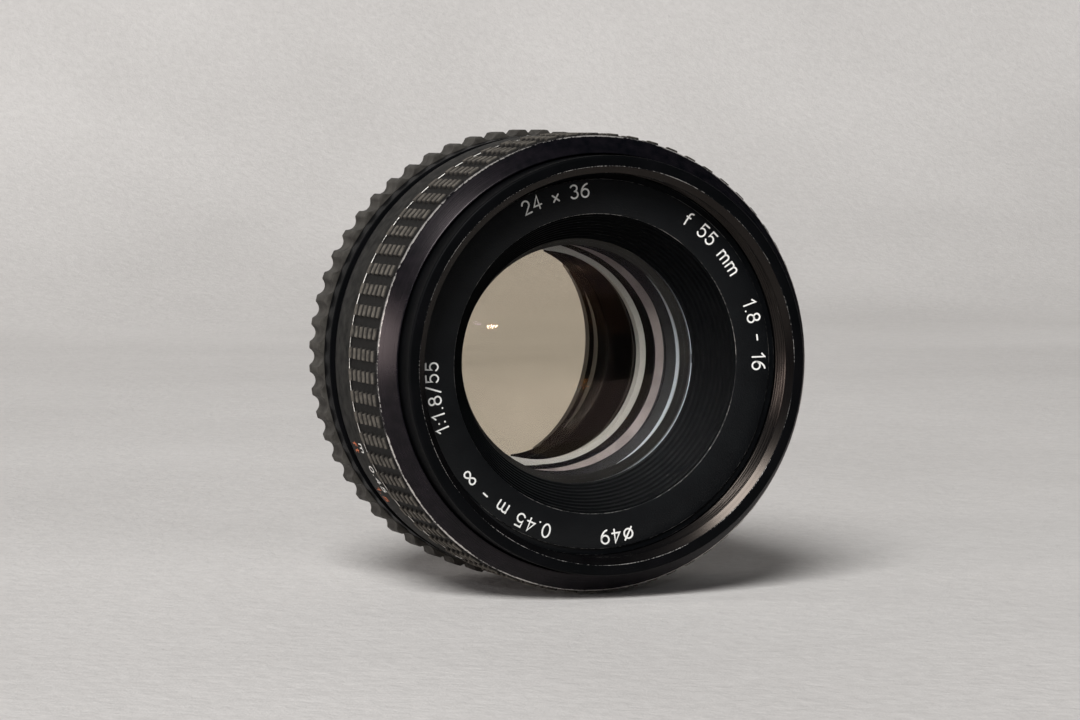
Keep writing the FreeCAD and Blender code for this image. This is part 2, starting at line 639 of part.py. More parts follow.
def front_cell():
    """Stepped tube bored for elements 1, 2 and 3, with a flange that seats on the web of the lens barrel."""
    one = ELEMENTS["element_1"]
    two = ELEMENTS["element_2"]
    three = ELEMENTS["element_3"]
    seat_1_z = rear_face_z("element_1", one.rim_r) - 0.01
    seat_2_z = rear_face_z("element_2", two.rim_r) - 0.01
    seat_3_z = rear_face_z("element_3", three.rim_r)
    tube_r = one.rim_r + 1.7
    flange_z = cell_web_z + CELL_WEB_THICKNESS
    clamp_r = one.rim_r + 1.0
    clamp_seat_z = front_face_z("element_1", one.rim_r) - 0.2
    spacer_r = spacer_outer_r()
    return turned([
        (three.rear_clear_r + 0.2, cell_rear_z), (tube_r, cell_rear_z), (tube_r, flange_z),
        (lens_barrel_bore_r, flange_z), (lens_barrel_bore_r, flange_z + 1.0), (tube_r + 1.4, flange_z + 1.0),
        (tube_r, clamp_front_z()), (clamp_r, clamp_front_z()), (clamp_r, clamp_seat_z),
        (one.rim_r, clamp_seat_z), (one.rim_r, seat_1_z), (spacer_r, seat_1_z), (spacer_r, spacer_rear_z()),
        (two.rim_r, spacer_rear_z()), (two.rim_r, seat_2_z), (three.rim_r, seat_2_z),
        (three.rim_r, seat_3_z), (three.rear_clear_r + 0.2, seat_3_z),
    ])


def spacer_outer_r():
    return ELEMENTS["element_2"].rim_r + 1.1


def spacer_rear_z():
    """Height where the spacer touches element 2, just inside its rim."""
    return front_face_z("element_2", ELEMENTS["element_2"].rim_r - 0.4)


def front_spacer():
    """Ring between elements 1 and 2."""
    inner_r = ELEMENTS["element_2"].rim_r - 0.4
    front = rear_face_z("element_1", spacer_outer_r()) - 0.01
    return ring(inner_r, spacer_outer_r(), spacer_rear_z(), front)


def front_clamp_ring():
    """Ring screwed in over element 1, with two notches for the spanner."""
    one = ELEMENTS["element_1"]
    inner_r = clamp_bore_r()
    rear = front_face_z("element_1", inner_r)
    body = turned([
        (inner_r, rear), (one.rim_r + 1.0, rear), (one.rim_r + 1.0, clamp_front_z()),
        (inner_r + 0.4, clamp_front_z()), (inner_r, clamp_front_z() - 0.4),
    ])
    notches = [sector(inner_r + 0.6, one.rim_r + 2, clamp_front_z() - 0.4, clamp_front_z() + 1, angle, 4)
               for angle in (0, 180)]
    return body.cut(Part.makeCompound(notches))


def cell_lock_ring():
    """Ring that holds the front cell down on the web."""
    rear = cell_web_z + CELL_WEB_THICKNESS + 1.0
    return ring(lens_barrel_bore_r - 2.0, lens_barrel_bore_r, rear, rear + 1.2)


# Iris
def iris_plate():
    """Plate behind the front cell: the full-aperture hole and the six pivot holes."""
    plate = ring(STOP_OPEN_R, iris_r, iris_plate_rear_z, cell_rear_z)
    hole = axial_pin(BLADE_PIN_R + FIT, PIVOT_R, 0, iris_plate_rear_z - 1, cell_rear_z + 1)
    holes = [at_angle(hole, index * 360.0 / BLADE_COUNT) for index in range(BLADE_COUNT)]
    return plate.cut(Part.makeCompound(holes + [iris_screws()]))


def iris_housing():
    """Cup that carries the drive ring, with a window in its wall for the ring's fork."""
    body = turned([
        (iris_floor_bore_r, iris_floor_rear_z), (iris_r, iris_floor_rear_z), (iris_r, iris_plate_rear_z),
        (iris_bore_r, iris_plate_rear_z), (iris_bore_r, iris_floor_front_z),
        (iris_floor_bore_r, iris_floor_front_z),
    ])
    window = sector(iris_bore_r - 0.2, iris_r + 1, iris_floor_front_z, drive_ring_front_z + 0.1,
                    FINGER_ANGLE + APERTURE_TURN / 2, APERTURE_TURN + fork_width() + 2)
    return body.cut(Part.makeCompound([window, rear_cell_screws()]))


def fork_width():
    """Degrees taken by the fork that grips the finger."""
    return degrees_at(FINGER_WIDTH + 2.4, finger_outer_r)


def iris_screws():
    """Screws that hold the iris plate to the front cell."""
    centre_r = ELEMENTS["element_1"].rim_r - 2.0
    rear_z = iris_plate_rear_z + 0.05
    return Part.makeCompound([
        axial_pin(SCREW_R, centre_r, angle, rear_z, cell_rear_z) for angle in IRIS_SCREW_ANGLES
    ])


def cam_point(progress, offset=0.0):
    """A point of the cam slot in the drive ring, at rest, for the iris closed by the fraction progress.

    The cam pin turns about its pivot with the blade while the ring turns under it, so the slot is the pin's
    path seen from the ring. offset moves the point sideways from that path.
    """
    def centre(fraction):
        swing = math.radians(fraction * blade_turn - 90)
        x = PIVOT_R + CAM_ARM * math.cos(swing)
        y = CAM_ARM * math.sin(swing)
        back = -math.radians(fraction * APERTURE_TURN)
        return V(x * math.cos(back) - y * math.sin(back), x * math.sin(back) + y * math.cos(back), 0)

    step = 0.001
    along = centre(progress + step) - centre(progress - step)
    along.normalize()
    return centre(progress) + V(-along.y, along.x, 0) * offset


def cam_slot():
    """Cutter for one cam slot: two offset curves closed by round ends."""
    samples = 9
    half_width = BLADE_PIN_R + FIT
    fractions = [index / (samples - 1) for index in range(samples)]
    sides = []
    for side in (half_width, -half_width):
        curve = Part.BSplineCurve()
        curve.interpolate([cam_point(fraction, side) for fraction in fractions])
        sides.append(curve.toShape())
    ends = []
    for fraction in (0.0, 1.0):
        centre = cam_point(fraction)
        outward = centre - cam_point(0.5 * fraction + 0.25)
        outward.normalize()
        along = cam_point(fraction + 0.001) - cam_point(fraction - 0.001)
        along.normalize()
        if along.dot(outward) < 0:
            along = along * -1
        ends.append(Part.Arc(cam_point(fraction, half_width), centre + along * half_width,
                             cam_point(fraction, -half_width)).toShape())
    outline = Part.Wire(Part.__sortEdges__([sides[0], ends[1], sides[1], ends[0]]))
    cutter = Part.Face(outline).extrude(V(0, 0, DRIVE_RING_THICKNESS + 2))
    cutter.translate(V(0, 0, drive_ring_rear_z - 1))
    return cutter


def iris_drive_ring():
    """Ring with one cam slot for each blade and a fork outside that the finger turns."""
    outer_r = iris_bore_r - FIT
    body = ring(drive_ring_bore_r, outer_r, drive_ring_rear_z, drive_ring_front_z)
    fork = sector(outer_r - 0.5, finger_outer_r + 0.4, drive_ring_rear_z, drive_ring_front_z, FINGER_ANGLE,
                  fork_width())
    notch = sector(finger_inner_r - FIT, finger_outer_r + 1, drive_ring_rear_z - 1, drive_ring_front_z + 1,
                   FINGER_ANGLE, degrees_at(FINGER_WIDTH + 2 * FIT, finger_outer_r))
    slots = [at_angle(cam_slot(), index * 360.0 / BLADE_COUNT) for index in range(BLADE_COUNT)]
    return body.fuse(fork).cut(Part.makeCompound(slots + [notch])).removeSplitter()


def iris_blade(index):
    """Blade with its pivot pin towards the plate and its cam pin towards the drive ring."""
    rear_z = first_blade_z - index * BLADE_LAYER
    front_z = rear_z + BLADE_THICKNESS
    leaf = sector(blade_inner_r, blade_outer_r, rear_z, front_z, (BLADE_REACH - BLADE_TAIL) / 2,
                  BLADE_REACH + BLADE_TAIL)
    cam_centre = V(PIVOT_R, -CAM_ARM, 0)
    cam_r = cam_centre.Length
    cam_angle = math.degrees(math.atan2(cam_centre.y, cam_centre.x))
    pivot_ear = axial_pin(PIVOT_EAR_R, PIVOT_R, 0, rear_z, front_z)
    cam_ear = axial_pin(CAM_EAR_R, cam_r, cam_angle, rear_z, front_z)
    bridge = Part.makeBox(1.5, CAM_ARM, BLADE_THICKNESS, V(PIVOT_R - 0.75, -CAM_ARM, rear_z))
    pivot_pin = axial_pin(BLADE_PIN_R, PIVOT_R, 0, rear_z, cell_rear_z - 0.05)
    cam_pin = axial_pin(BLADE_PIN_R, cam_r, cam_angle, drive_ring_rear_z + 0.05, front_z)
    blade = leaf.fuse([pivot_ear, cam_ear, bridge, pivot_pin, cam_pin]).removeSplitter()
    return at_angle(blade, index * 360.0 / BLADE_COUNT)


# Rear cell
def rear_cell():
    """Stepped tube bored for the rear doublet and the last element, with a flange under the iris."""
    four = ELEMENTS["element_4"]
    five = ELEMENTS["element_5"]
    six = ELEMENTS["element_6"]
    nose_r = iris_floor_bore_r - 0.1
    lock_r = four.rim_r + 1.0
    front_z = front_face_z("element_4", four.rim_r)
    lock_front_z = front_z + 0.4
    throat_r = five.rim_r - 0.7
    seat_5_z = rear_face_z("element_5", throat_r) - 0.01
    stop_r = six.rim_r - 0.8
    seat_6_z = front_face_z("element_6", stop_r) + 0.01
    clamp_z = rear_clamp_front_z()
    rear_z = -THREAD_LENGTH - 0.2
    return turned([
        (rear_clamp_r, rear_z), (rear_cell_r, rear_z), (rear_cell_r, iris_floor_rear_z - 0.9),
        (iris_bore_r - 0.6, iris_floor_rear_z - 0.9), (iris_bore_r - 0.6, iris_floor_rear_z),
        (nose_r, iris_floor_rear_z), (nose_r, lock_front_z), (lock_r, lock_front_z), (lock_r, front_z),
        (four.rim_r, front_z), (four.rim_r, seat_5_z), (throat_r, seat_5_z), (stop_r, seat_6_z),
        (six.rim_r, seat_6_z), (six.rim_r, clamp_z), (rear_clamp_r, clamp_z),
    ]).cut(rear_cell_screws())


def rear_cell_screws():
    """Screws that hold the rear cell to the floor of the iris housing."""
    centre_r = (iris_floor_bore_r + iris_bore_r) / 2
    rear_z = iris_floor_rear_z - 0.85
    front_z = iris_floor_front_z - 0.05
    return Part.makeCompound([
        axial_pin(SCREW_R, centre_r, angle, rear_z, front_z) for angle in IRIS_SCREW_ANGLES
    ])


def stop_side_clamp_ring():
    """Ring that holds the rear doublet in, on the side of the iris."""
    four = ELEMENTS["element_4"]
    rear = front_face_z("element_4", four.rim_r)
    return ring(four.front_clear_r + 0.1, four.rim_r + 1.0, rear, rear + 0.4)


def rear_clamp_front_z():
    return rear_face_z("element_6", ELEMENTS["element_6"].rim_r - 0.8)


def rear_clamp_ring():
    """Ring screwed in behind the last element, with two notches for the spanner."""
    inner_r = ELEMENTS["element_6"].rim_r - 0.8
    rear_z = -THREAD_LENGTH
    body = ring(inner_r, rear_clamp_r, rear_z, rear_clamp_front_z())
    notch = sector(inner_r - 1, rear_clamp_r - 0.5, rear_z - 1, rear_z + 0.4, 90, 5)
    return body.cut(Part.makeCompound([notch, at_angle(notch, 180)]))


# Focus ring
def focus_ring():
    """Turning ring: bare scale band, seat for the rubber, chamfered nose, flange caught behind the rim."""
    flange_bore_r = lens_barrel_r + 0.45
    flange_front_z = focus_flange_z + FOCUS_FLANGE_THICKNESS
    return turned([
        (focus_bore_r, focus_rear_z), (scale_band_r - 0.2, focus_rear_z), (scale_band_r, focus_rear_z + 0.2),
        (scale_band_r, grip_z), (grip_seat_r, grip_z), (grip_seat_r, grip_front_z),
        (focus_edge_r, grip_front_z), (focus_edge_r, focus_edge_z),
        (focus_front_bore_r + 0.15, focus_front_z), (focus_front_bore_r, focus_front_z),
        (focus_front_bore_r, flange_front_z),
        (flange_bore_r, flange_front_z), (flange_bore_r, focus_flange_z),
        (focus_bore_r, focus_flange_z),
    ])


def focus_grip():
    """Rubber sleeve with upright columns and open channels between them."""
    sleeve = ring(grip_seat_r, grip_r, grip_z, grip_front_z)
    channel = Part.makeBox(GRIP_COLUMN_HEIGHT + 1, GRIP_CHANNEL_WIDTH, GRIP_LENGTH + 2,
                           V(grip_base_r, -GRIP_CHANNEL_WIDTH / 2, grip_z - 1))
    channels = [at_angle(channel, index * 360.0 / GRIP_COLUMNS) for index in range(GRIP_COLUMNS)]
    return sleeve.cut(Part.makeCompound(channels))


pieces = {
    "mount_ring": mount_ring(),
    "mount_screws": mount_screws(),
    "fixed_barrel": fixed_barrel(),
    "guide_keys": guide_keys(),
    "guide_key_screws": guide_key_screws(),
    "rear_housing": rear_housing(),
    "depth_scale_ring": depth_scale_ring(),
    "rear_cover": rear_cover(),
    "pin_bracket": pin_bracket(),
    "pin_spring": pin_spring(),
    "click_spring": click_spring(),
    "click_ball": click_ball(),
    "coupler_snap_ring": coupler_snap_ring(),
    "auto_manual_switch": auto_manual_switch(),
    "aperture_pin": aperture_pin(),
    "aperture_ring": aperture_ring(),
    "aperture_coupler": aperture_coupler(),
    "coupler_pins": coupler_pins(),
    "lens_barrel": lens_barrel(),
    "front_rim": front_rim(),
    "name_ring": name_ring(),
    "front_baffle": front_baffle(),
    "front_cell": front_cell(),
    "front_clamp_ring": front_clamp_ring(),
    "front_spacer": front_spacer(),
    "cell_lock_ring": cell_lock_ring(),
    "iris_plate": iris_plate(),
    "iris_screws": iris_screws(),
    "iris_housing": iris_housing(),
    "iris_drive_ring": iris_drive_ring(),
    "rear_cell": rear_cell(),
    "rear_cell_screws": rear_cell_screws(),
    "stop_side_clamp_ring": stop_side_clamp_ring(),
    "rear_clamp_ring": rear_clamp_ring(),
    "focus_ring": focus_ring(),
    "focus_grip": focus_grip(),
}
for element_name in ELEMENTS:
    pieces[element_name] = glass_element(element_name)
for blade_index in range(BLADE_COUNT):
    pieces["iris_blade_%d" % (blade_index + 1)] = iris_blade(blade_index)

os.makedirs("parts", exist_ok=True)
for node_name, shape in pieces.items():
    shape.rotate(V(0, 0, 0), V(1, 0, 0), 90)
    shape.exportStep("parts/%s.step" % node_name)
print("wrote", len(pieces), "pieces; blade turn", round(blade_turn, 4), "degrees")
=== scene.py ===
import bmesh
import bpy
import math
from collections import namedtuple
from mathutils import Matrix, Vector, noise


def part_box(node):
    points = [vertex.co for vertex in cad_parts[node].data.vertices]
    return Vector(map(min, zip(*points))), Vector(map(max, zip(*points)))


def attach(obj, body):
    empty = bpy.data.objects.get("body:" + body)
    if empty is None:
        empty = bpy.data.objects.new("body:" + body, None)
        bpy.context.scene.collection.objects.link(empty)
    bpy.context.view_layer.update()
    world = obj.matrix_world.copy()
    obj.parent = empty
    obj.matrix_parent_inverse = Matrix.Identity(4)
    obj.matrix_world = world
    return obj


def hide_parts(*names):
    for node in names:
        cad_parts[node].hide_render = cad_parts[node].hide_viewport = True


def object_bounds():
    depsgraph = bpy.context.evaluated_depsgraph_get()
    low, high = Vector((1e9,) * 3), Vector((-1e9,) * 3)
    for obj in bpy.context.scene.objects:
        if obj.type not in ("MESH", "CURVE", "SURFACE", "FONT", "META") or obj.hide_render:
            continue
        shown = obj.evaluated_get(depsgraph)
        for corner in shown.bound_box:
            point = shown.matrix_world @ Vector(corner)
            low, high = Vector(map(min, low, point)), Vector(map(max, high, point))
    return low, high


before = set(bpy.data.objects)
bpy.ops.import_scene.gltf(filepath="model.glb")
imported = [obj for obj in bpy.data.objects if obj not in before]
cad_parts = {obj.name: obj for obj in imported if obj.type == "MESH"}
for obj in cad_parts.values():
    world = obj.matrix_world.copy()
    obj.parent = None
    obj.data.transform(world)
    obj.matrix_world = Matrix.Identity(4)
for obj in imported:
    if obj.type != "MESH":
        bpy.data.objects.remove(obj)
cad_low, cad_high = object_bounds()


# Fixed barrel: the turned brass tube that carries every ring and never moves. It is bored and threaded
# on a lathe, and stays hidden under the rings until the lens is focused close.

# How often a tool mark changes along its length, per mm.
MARK_DRIFT = 0.04


def colour(code):
    """Linear colour of an sRGB hex code."""
    parts = [int(code[i:i + 2], 16) / 255 for i in (0, 2, 4)]
    return [c / 12.92 if c <= 0.04045 else ((c + 0.055) / 1.055) ** 2.4 for c in parts] + [1.0]


def add(tree, kind, settings):
    """Adds a node. A key is a socket or a property; a value is a number, a colour or the output to link."""
    made = tree.nodes.new(kind)
    for key, value in settings.items():
        if isinstance(key, str) and key not in made.inputs:
            setattr(made, key, value)
        elif isinstance(value, bpy.types.NodeSocket):
            tree.links.new(value, made.inputs[key])
        else:
            made.inputs[key].default_value = value
    return made


def new_finish(name, settings):
    """A material with one surface shader, and its node tree."""
    material = bpy.data.materials.new(name)
    material.use_nodes = True
    tree = material.node_tree
    tree.nodes.clear()
    shader = add(tree, "ShaderNodeBsdfPrincipled", settings)
    add(tree, "ShaderNodeOutputMaterial", {"Surface": shader.outputs[0]})
    return material, tree, shader


def off_axis(tree, here):
    """Distance of a place from the optical axis, and how far along the axis it lies."""
    xyz = add(tree, "ShaderNodeSeparateXYZ", {0: here})
    flat = add(tree, "ShaderNodeCombineXYZ", {0: xyz.outputs[0], 1: xyz.outputs[2]})
    radius = add(tree, "ShaderNodeVectorMath", {"operation": "LENGTH", 0: flat.outputs[0]})
    return radius.outputs["Value"], xyz.outputs[1]


def around_axis(tree, fine, slow):
    """Coordinates for marks that run round the optical axis: fine across them, slow along them, per mm."""
    here = add(tree, "ShaderNodeTexCoord", {}).outputs["Object"]
    radius, along = off_axis(tree, here)
    rings = add(tree, "ShaderNodeCombineXYZ", {0: radius, 1: along}).outputs[0]
    rings = add(tree, "ShaderNodeVectorMath", {"operation": "SCALE", 0: rings, "Scale": fine * 1000})
    drift = add(tree, "ShaderNodeVectorMath", {"operation": "SCALE", 0: here, "Scale": slow * 1000})
    return add(tree, "ShaderNodeVectorMath", {0: rings.outputs[0], 1: drift.outputs[0]}).outputs[0]


def turning_marks(tree, shader, spacing, depth, roughness, spread):
    """Marks of the lathe tool, spacing mm apart, as bump and as a change of gloss.

    Real ones are finer, and would not show, so they are drawn coarser here.
    """
    marks = add(tree, "ShaderNodeTexNoise", {
        "Vector": around_axis(tree, 1 / spacing, MARK_DRIFT), "Scale": 1.0, "Detail": 3.0,
        "Roughness": 0.6}).outputs[0]
    gloss = add(tree, "ShaderNodeMapRange", {
        "Value": marks, "To Min": roughness - spread, "To Max": roughness + spread}).outputs[0]
    bump = add(tree, "ShaderNodeBump", {"Height": marks, "Strength": 1.0, "Distance": depth / 1000})
    tree.links.new(gloss, shader.inputs["Roughness"])
    tree.links.new(bump.outputs[0], shader.inputs["Normal"])


def bare_metal(name, code, spacing, depth, roughness, spread):
    """Bright metal in one colour with the marks of the lathe tool."""
    metal, tree, shader = new_finish(name, {"Base Color": colour(code), "Metallic": 1.0})
    turning_marks(tree, shader, spacing, depth, roughness, spread)
    return metal


def coat(material, *node_names):
    """Gives CAD pieces their finish."""
    for node_name in node_names:
        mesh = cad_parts[node_name].data
        mesh.materials.clear()
        mesh.materials.append(material)


# Free-cutting brass, turned and left bright under a film of grease: warm yellow, with fine tool marks.
brass = bare_metal("turned_brass", "b08d4f", 0.12, 0.004, 0.32, 0.08)
coat(brass, "fixed_barrel", "iris_drive_ring", "guide_keys")


# Mount ring: chromed brass tube with the 42 x 1 mm thread that screws into the camera and the flange that
# seats on it. The thread is cut on the lathe and runs out into a groove under the flange.
MOUNT_THREAD_PITCH = 1.0
MOUNT_THREAD_DEPTH = 0.5
MOUNT_BORE_R = 19.2
MOUNT_THREAD_R = 21.0
MOUNT_THREAD_START = 0.4
MOUNT_THREAD_END = 0.3
MOUNT_THREAD_ROWS = 60
MOUNT_CHAMFER = 0.45
MOUNT_FLAT_MARGIN = 0.4
MOUNT_SCREW_R = 25.1
MOUNT_SCREW_ANGLES = (45, 165, 285)
MOUNT_SLOT_TURN = 70
SLOT_CUTTER = (3, 0.28, 0.5)
SCREW_OUTLINE = [(0, 0.02), (1.07, 0.02, 0.05), (0.6, -0.45), (0.6, -1.6), (0, -1.6)]
COUNTERSINK_OUTLINE = [(0, 0.3), (1.4, 0.3), (1.1, 0), (0.62, -0.5), (0.62, -1.7), (0, -1.7)]
INTO_CAMERA = Vector((0, 1, 0))

# A broken corner takes at most this share of a side. A crease stays crisp above the sharp angle. Points
# within the weld distance, in metres, are joined, and places within a hair, in mm, count as the same.
CUT_SHARE = 0.45
SHARP_ANGLE = 32
WELD_DISTANCE = 1e-7
HAIR = 0.01

# Shares of half a turn of a thread that are flat at its root and at its crest, and how far the crest is
# rubbed bright.
ROOT_FLAT = 0.1
CREST_FLAT = 0.15
CREST_WEAR = 0.5


def span(node_name):
    """Rear height, front height and outer radius of a CAD piece, in mm about the optical axis."""
    low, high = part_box(node_name)
    return -high.y * 1000, -low.y * 1000, high.x * 1000


def place(r, angle, z):
    """A point of the lens in metres: radius, angle from the right as seen from the front, and height."""
    return Vector((r * math.cos(math.radians(angle)), -z, r * math.sin(math.radians(angle)))) / 1000


def rounded(outline):
    """Outline with its corners broken, and how exposed each of its points is.

    A corner is (r, z), (r, z, cut) or (r, z, cut, how hard it is rubbed). A cut stops short of the middle of
    both sides.
    """
    points = []
    exposed = []
    for index, corner in enumerate(outline):
        here = Vector(corner[:2])
        before = Vector(outline[index - 1][:2]) - here
        after = Vector(outline[(index + 1) % len(outline)][:2]) - here
        if len(corner) < 3:
            points.append(here)
            exposed.append(0.0)
            continue
        start = here + before.normalized() * min(corner[2], before.length * CUT_SHARE)
        end = here + after.normalized() * min(corner[2], after.length * CUT_SHARE)
        rubbed = corner[3] if len(corner) > 3 else 1.0
        for t in (0, 0.25, 0.5, 0.75, 1):
            points.append(start * (1 - t) ** 2 + here * 2 * t * (1 - t) + end * t ** 2)
            exposed.append(4 * t * (1 - t) * rubbed)
    return points, exposed


def skin_faces(stations, count, closed):
    """Faces over a ring of stations with count points each; closed joins the last point to the first."""
    faces = []
    for i in range(stations):
        row = i * count
        following = (i + 1) % stations * count
        for j in range(count if closed else count - 1):
            k = (j + 1) % count
            faces.append((row + j, row + k, following + k, following + j))
    return faces


def turned(name, outline, material, segments=240, angles=None, cut=None, sharp=SHARP_ANGLE):
    """Solid of revolution about the optical axis. cut(r, z, angle) gives the radius there and its wear; on
    the rubber grip this is instead the mask for painted light and painted shade.
    """
    points, exposed = rounded(outline)
    angles = angles or [360 * i / segments for i in range(segments)]
    verts = []
    wear_and_shade = []
    for angle in angles:
        for (r, z), edge in zip(points, exposed):
            if cut:
                r, ridge = cut(r, z, angle)
                edge = max(edge, ridge)
            verts.append(place(r, angle, z))
            wear_and_shade.append(edge)
    faces = skin_faces(len(angles), len(points), closed=True)
    return solid(name, verts, faces, material, wear_and_shade, sharp)


def solid(name, verts, faces, material, wear_and_shade=None, sharp=SHARP_ANGLE):
    """Mesh object in metres, its faces turned outwards, smooth below the sharp angle."""
    mesh = bpy.data.meshes.new(name)
    mesh.from_pydata(verts, [], faces)
    if wear_and_shade:
        mesh.attributes.new("wear_and_shade", "FLOAT", "POINT").data.foreach_set("value", wear_and_shade)
    form = bmesh.new()
    form.from_mesh(mesh)
    bmesh.ops.remove_doubles(form, verts=form.verts, dist=WELD_DISTANCE)
    bmesh.ops.recalc_face_normals(form, faces=form.faces)
    form.to_mesh(mesh)
    form.free()
    mesh.shade_smooth()
    mesh.set_sharp_from_angle(angle=math.radians(sharp))
    mesh.materials.append(material)
    piece = bpy.data.objects.new(name, mesh)
    bpy.context.scene.collection.objects.link(piece)
    return piece


def fit(piece, body, slot, *node_names):
    """Puts a piece in the place of CAD pieces, on their body."""
    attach(piece, body)
    if node_names:
        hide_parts(*node_names)


def threaded(thread_r, pitch, depth, ends, runout):
    """The cut of a thread into one radius between two heights, with a flat at its root and its crest.

    It runs out over a length at each end.
    """
    def cut(r, z, angle):
        if abs(r - thread_r) > HAIR / 2 or not ends[0] < z < ends[1]:
            return r, 0
        fade = min((z - ends[0]) / runout[0], (ends[1] - z) / runout[1], 1)
        turns = z / pitch - angle / 360
        height = min(max((abs(2 * (turns % 1) - 1) - ROOT_FLAT) / (1 - ROOT_FLAT - CREST_FLAT), 0), 1)
        return r + depth * (1 - height) * fade, CREST_WEAR * height
    return cut


def bored(piece, cutters):
    """Cuts other pieces out of a piece and keeps the result as its mesh."""
    for cutter in cutters:
        cut = piece.modifiers.new("cut", "BOOLEAN")
        cut.object = cutter
        cut.solver = "EXACT"
    bpy.context.view_layer.update()
    mesh = bpy.data.meshes.new_from_object(piece.evaluated_get(bpy.context.evaluated_depsgraph_get()))
    piece.modifiers.clear()
    piece.data = mesh
    mesh.shade_smooth()
    mesh.set_sharp_from_angle(angle=math.radians(SHARP_ANGLE))
    for cutter in cutters:
        bpy.data.objects.remove(cutter)


def stud(name, outline, centre, axis, material, segments=24):
    """Small turned part on its own axis: outline of (r, height) corners, open at r = 0."""
    points, exposed = rounded(outline)
    turn = axis.to_track_quat("Z", "Y")
    verts = []
    wear_and_shade = []
    for i in range(segments):
        a = 2 * math.pi * i / segments
        for (r, height), edge in zip(points, exposed):
            verts.append((centre + turn @ Vector((r * math.cos(a), r * math.sin(a), height))) / 1000)
            wear_and_shade.append(edge)
    return solid(name, verts, skin_faces(segments, len(points), closed=False), material, wear_and_shade)


def bar(name, centre, along, up, length, width, height):
    """Plain straight bar about a centre, in mm: the cutter of a slot."""
    along = along.normalized()
    up = up.normalized()
    across = up.cross(along)
    verts = []
    for a in (-1, 1):
        for b in (-1, 1):
            for c in (-1, 1):
                corner = along * (a * length / 2) + across * (b * width / 2) + up * (c * height / 2)
                verts.append((centre + corner) / 1000)
    faces = [(0, 1, 3, 2), (4, 6, 7, 5), (0, 4, 5, 1), (2, 3, 7, 6), (0, 2, 6, 4), (1, 5, 7, 3)]
    return solid(name, verts, faces, steel)


# Steel screws and pins, machined and lightly blued: grey, with fine tool marks.
steel = bare_metal("machined_steel", "8d8d8f", 0.1, 0.002, 0.34, 0.08)

# Satin chrome plate over turned brass: cool grey-white, with the tool marks showing faintly through.
chrome = bare_metal("satin_chrome_plate", "c3c4c6", 0.15, 0.003, 0.28, 0.07)

mount_rear, mount_front, mount_r = span("mount_ring")
thread_start = mount_rear + MOUNT_THREAD_START
thread_length = -MOUNT_THREAD_END - thread_start
thread_rows = [(MOUNT_THREAD_R, -MOUNT_THREAD_END - thread_length * i / MOUNT_THREAD_ROWS)
               for i in range(MOUNT_THREAD_ROWS + 1)]
mount_ring = turned("mount_thread_ring", [
    (MOUNT_BORE_R, mount_front, 0.1), (MOUNT_BORE_R, mount_rear, 0.15),
    (MOUNT_THREAD_R - MOUNT_CHAMFER, mount_rear, 0.1), *reversed(thread_rows),
    (MOUNT_THREAD_R - MOUNT_THREAD_DEPTH, -0.05), (MOUNT_THREAD_R - MOUNT_THREAD_DEPTH, 0, 0.02),
    (MOUNT_THREAD_R, 0), (mount_r - MOUNT_FLAT_MARGIN, 0), (mount_r, 0, 0.3), (mount_r, mount_front, 0.1),
], chrome, cut=threaded(MOUNT_THREAD_R, MOUNT_THREAD_PITCH, -MOUNT_THREAD_DEPTH,
                        (thread_start, -MOUNT_THREAD_END), (MOUNT_THREAD_START, MOUNT_THREAD_END)))

countersinks = []
for angle in MOUNT_SCREW_ANGLES:
    centre = place(MOUNT_SCREW_R, angle, 0) * 1000
    countersinks.append(stud("countersink", COUNTERSINK_OUTLINE, centre, INTO_CAMERA, chrome))
    screw = stud("mount_screw_%d" % angle, SCREW_OUTLINE, centre, INTO_CAMERA, steel, 36)
    bored(screw, [bar("slot", centre, place(1, angle + MOUNT_SLOT_TURN, 0), INTO_CAMERA, *SLOT_CUTTER)])
    fit(screw, "fixed_body", "steel", *(["mount_screws"] if angle == MOUNT_SCREW_ANGLES[0] else []))
bored(mount_ring, countersinks)
fit(mount_ring, "fixed_body", "satin_chrome", "mount_ring")
coat(steel, "guide_key_screws", "coupler_pins", "rear_cell_screws", "iris_screws", "pin_bracket",
     "aperture_pin")


# Rear housing: the fixed black shell behind the aperture ring, turned from aluminium and anodised, with a
# T-slot for the automatic / manual switch and an engraved letter at each end of the switch's travel.
SWITCH_LETTER = (1.3, 0.2)
SWITCH_LETTERS = {"A": 317.5, "M": 353.5}
SWITCH_HEIGHT = 2.9
HOUSING_TAPER = 0.26
HOUSING_FRONT_CUT = 0.2
SCUFFED_METAL = 0.6
WEAR_PATCHES_PER_MM = 0.16
WEAR_FADE = 0.06


def worn(tree, shader, paint, bare, reach, grain):
    """Paint or oxide rubbed through to bare metal on exposed edges, in specks about grain mm long."""
    edge = add(tree, "ShaderNodeAttribute", {"attribute_name": "wear_and_shade"}).outputs["Fac"]
    here = add(tree, "ShaderNodeTexCoord", {}).outputs["Object"]
    specks = add(tree, "ShaderNodeTexNoise", {
        "Vector": here, "Scale": 1000 / grain, "Detail": 5.0, "Roughness": 0.65}).outputs[0]
    patches = add(tree, "ShaderNodeTexNoise", {
        "Vector": here, "Scale": 1000 * WEAR_PATCHES_PER_MM, "Detail": 2.0}).outputs[0]
    rubbed = add(tree, "ShaderNodeMath", {"operation": "MULTIPLY", 0: specks, 1: patches}).outputs[0]
    level = add(tree, "ShaderNodeMath", {"operation": "MULTIPLY", 0: rubbed, 1: edge}).outputs[0]
    through = add(tree, "ShaderNodeMapRange", {
        "Value": level, "From Min": reach, "From Max": reach + WEAR_FADE}).outputs[0]
    cover = add(tree, "ShaderNodeMix", {"data_type": "RGBA", 0: through, 6: paint, 7: colour(bare)})
    scuffed = add(tree, "ShaderNodeMath", {"operation": "MULTIPLY", 0: through, 1: SCUFFED_METAL})
    tree.links.new(cover.outputs[2], shader.inputs["Base Color"])
    tree.links.new(scuffed.outputs[0], shader.inputs["Metallic"])


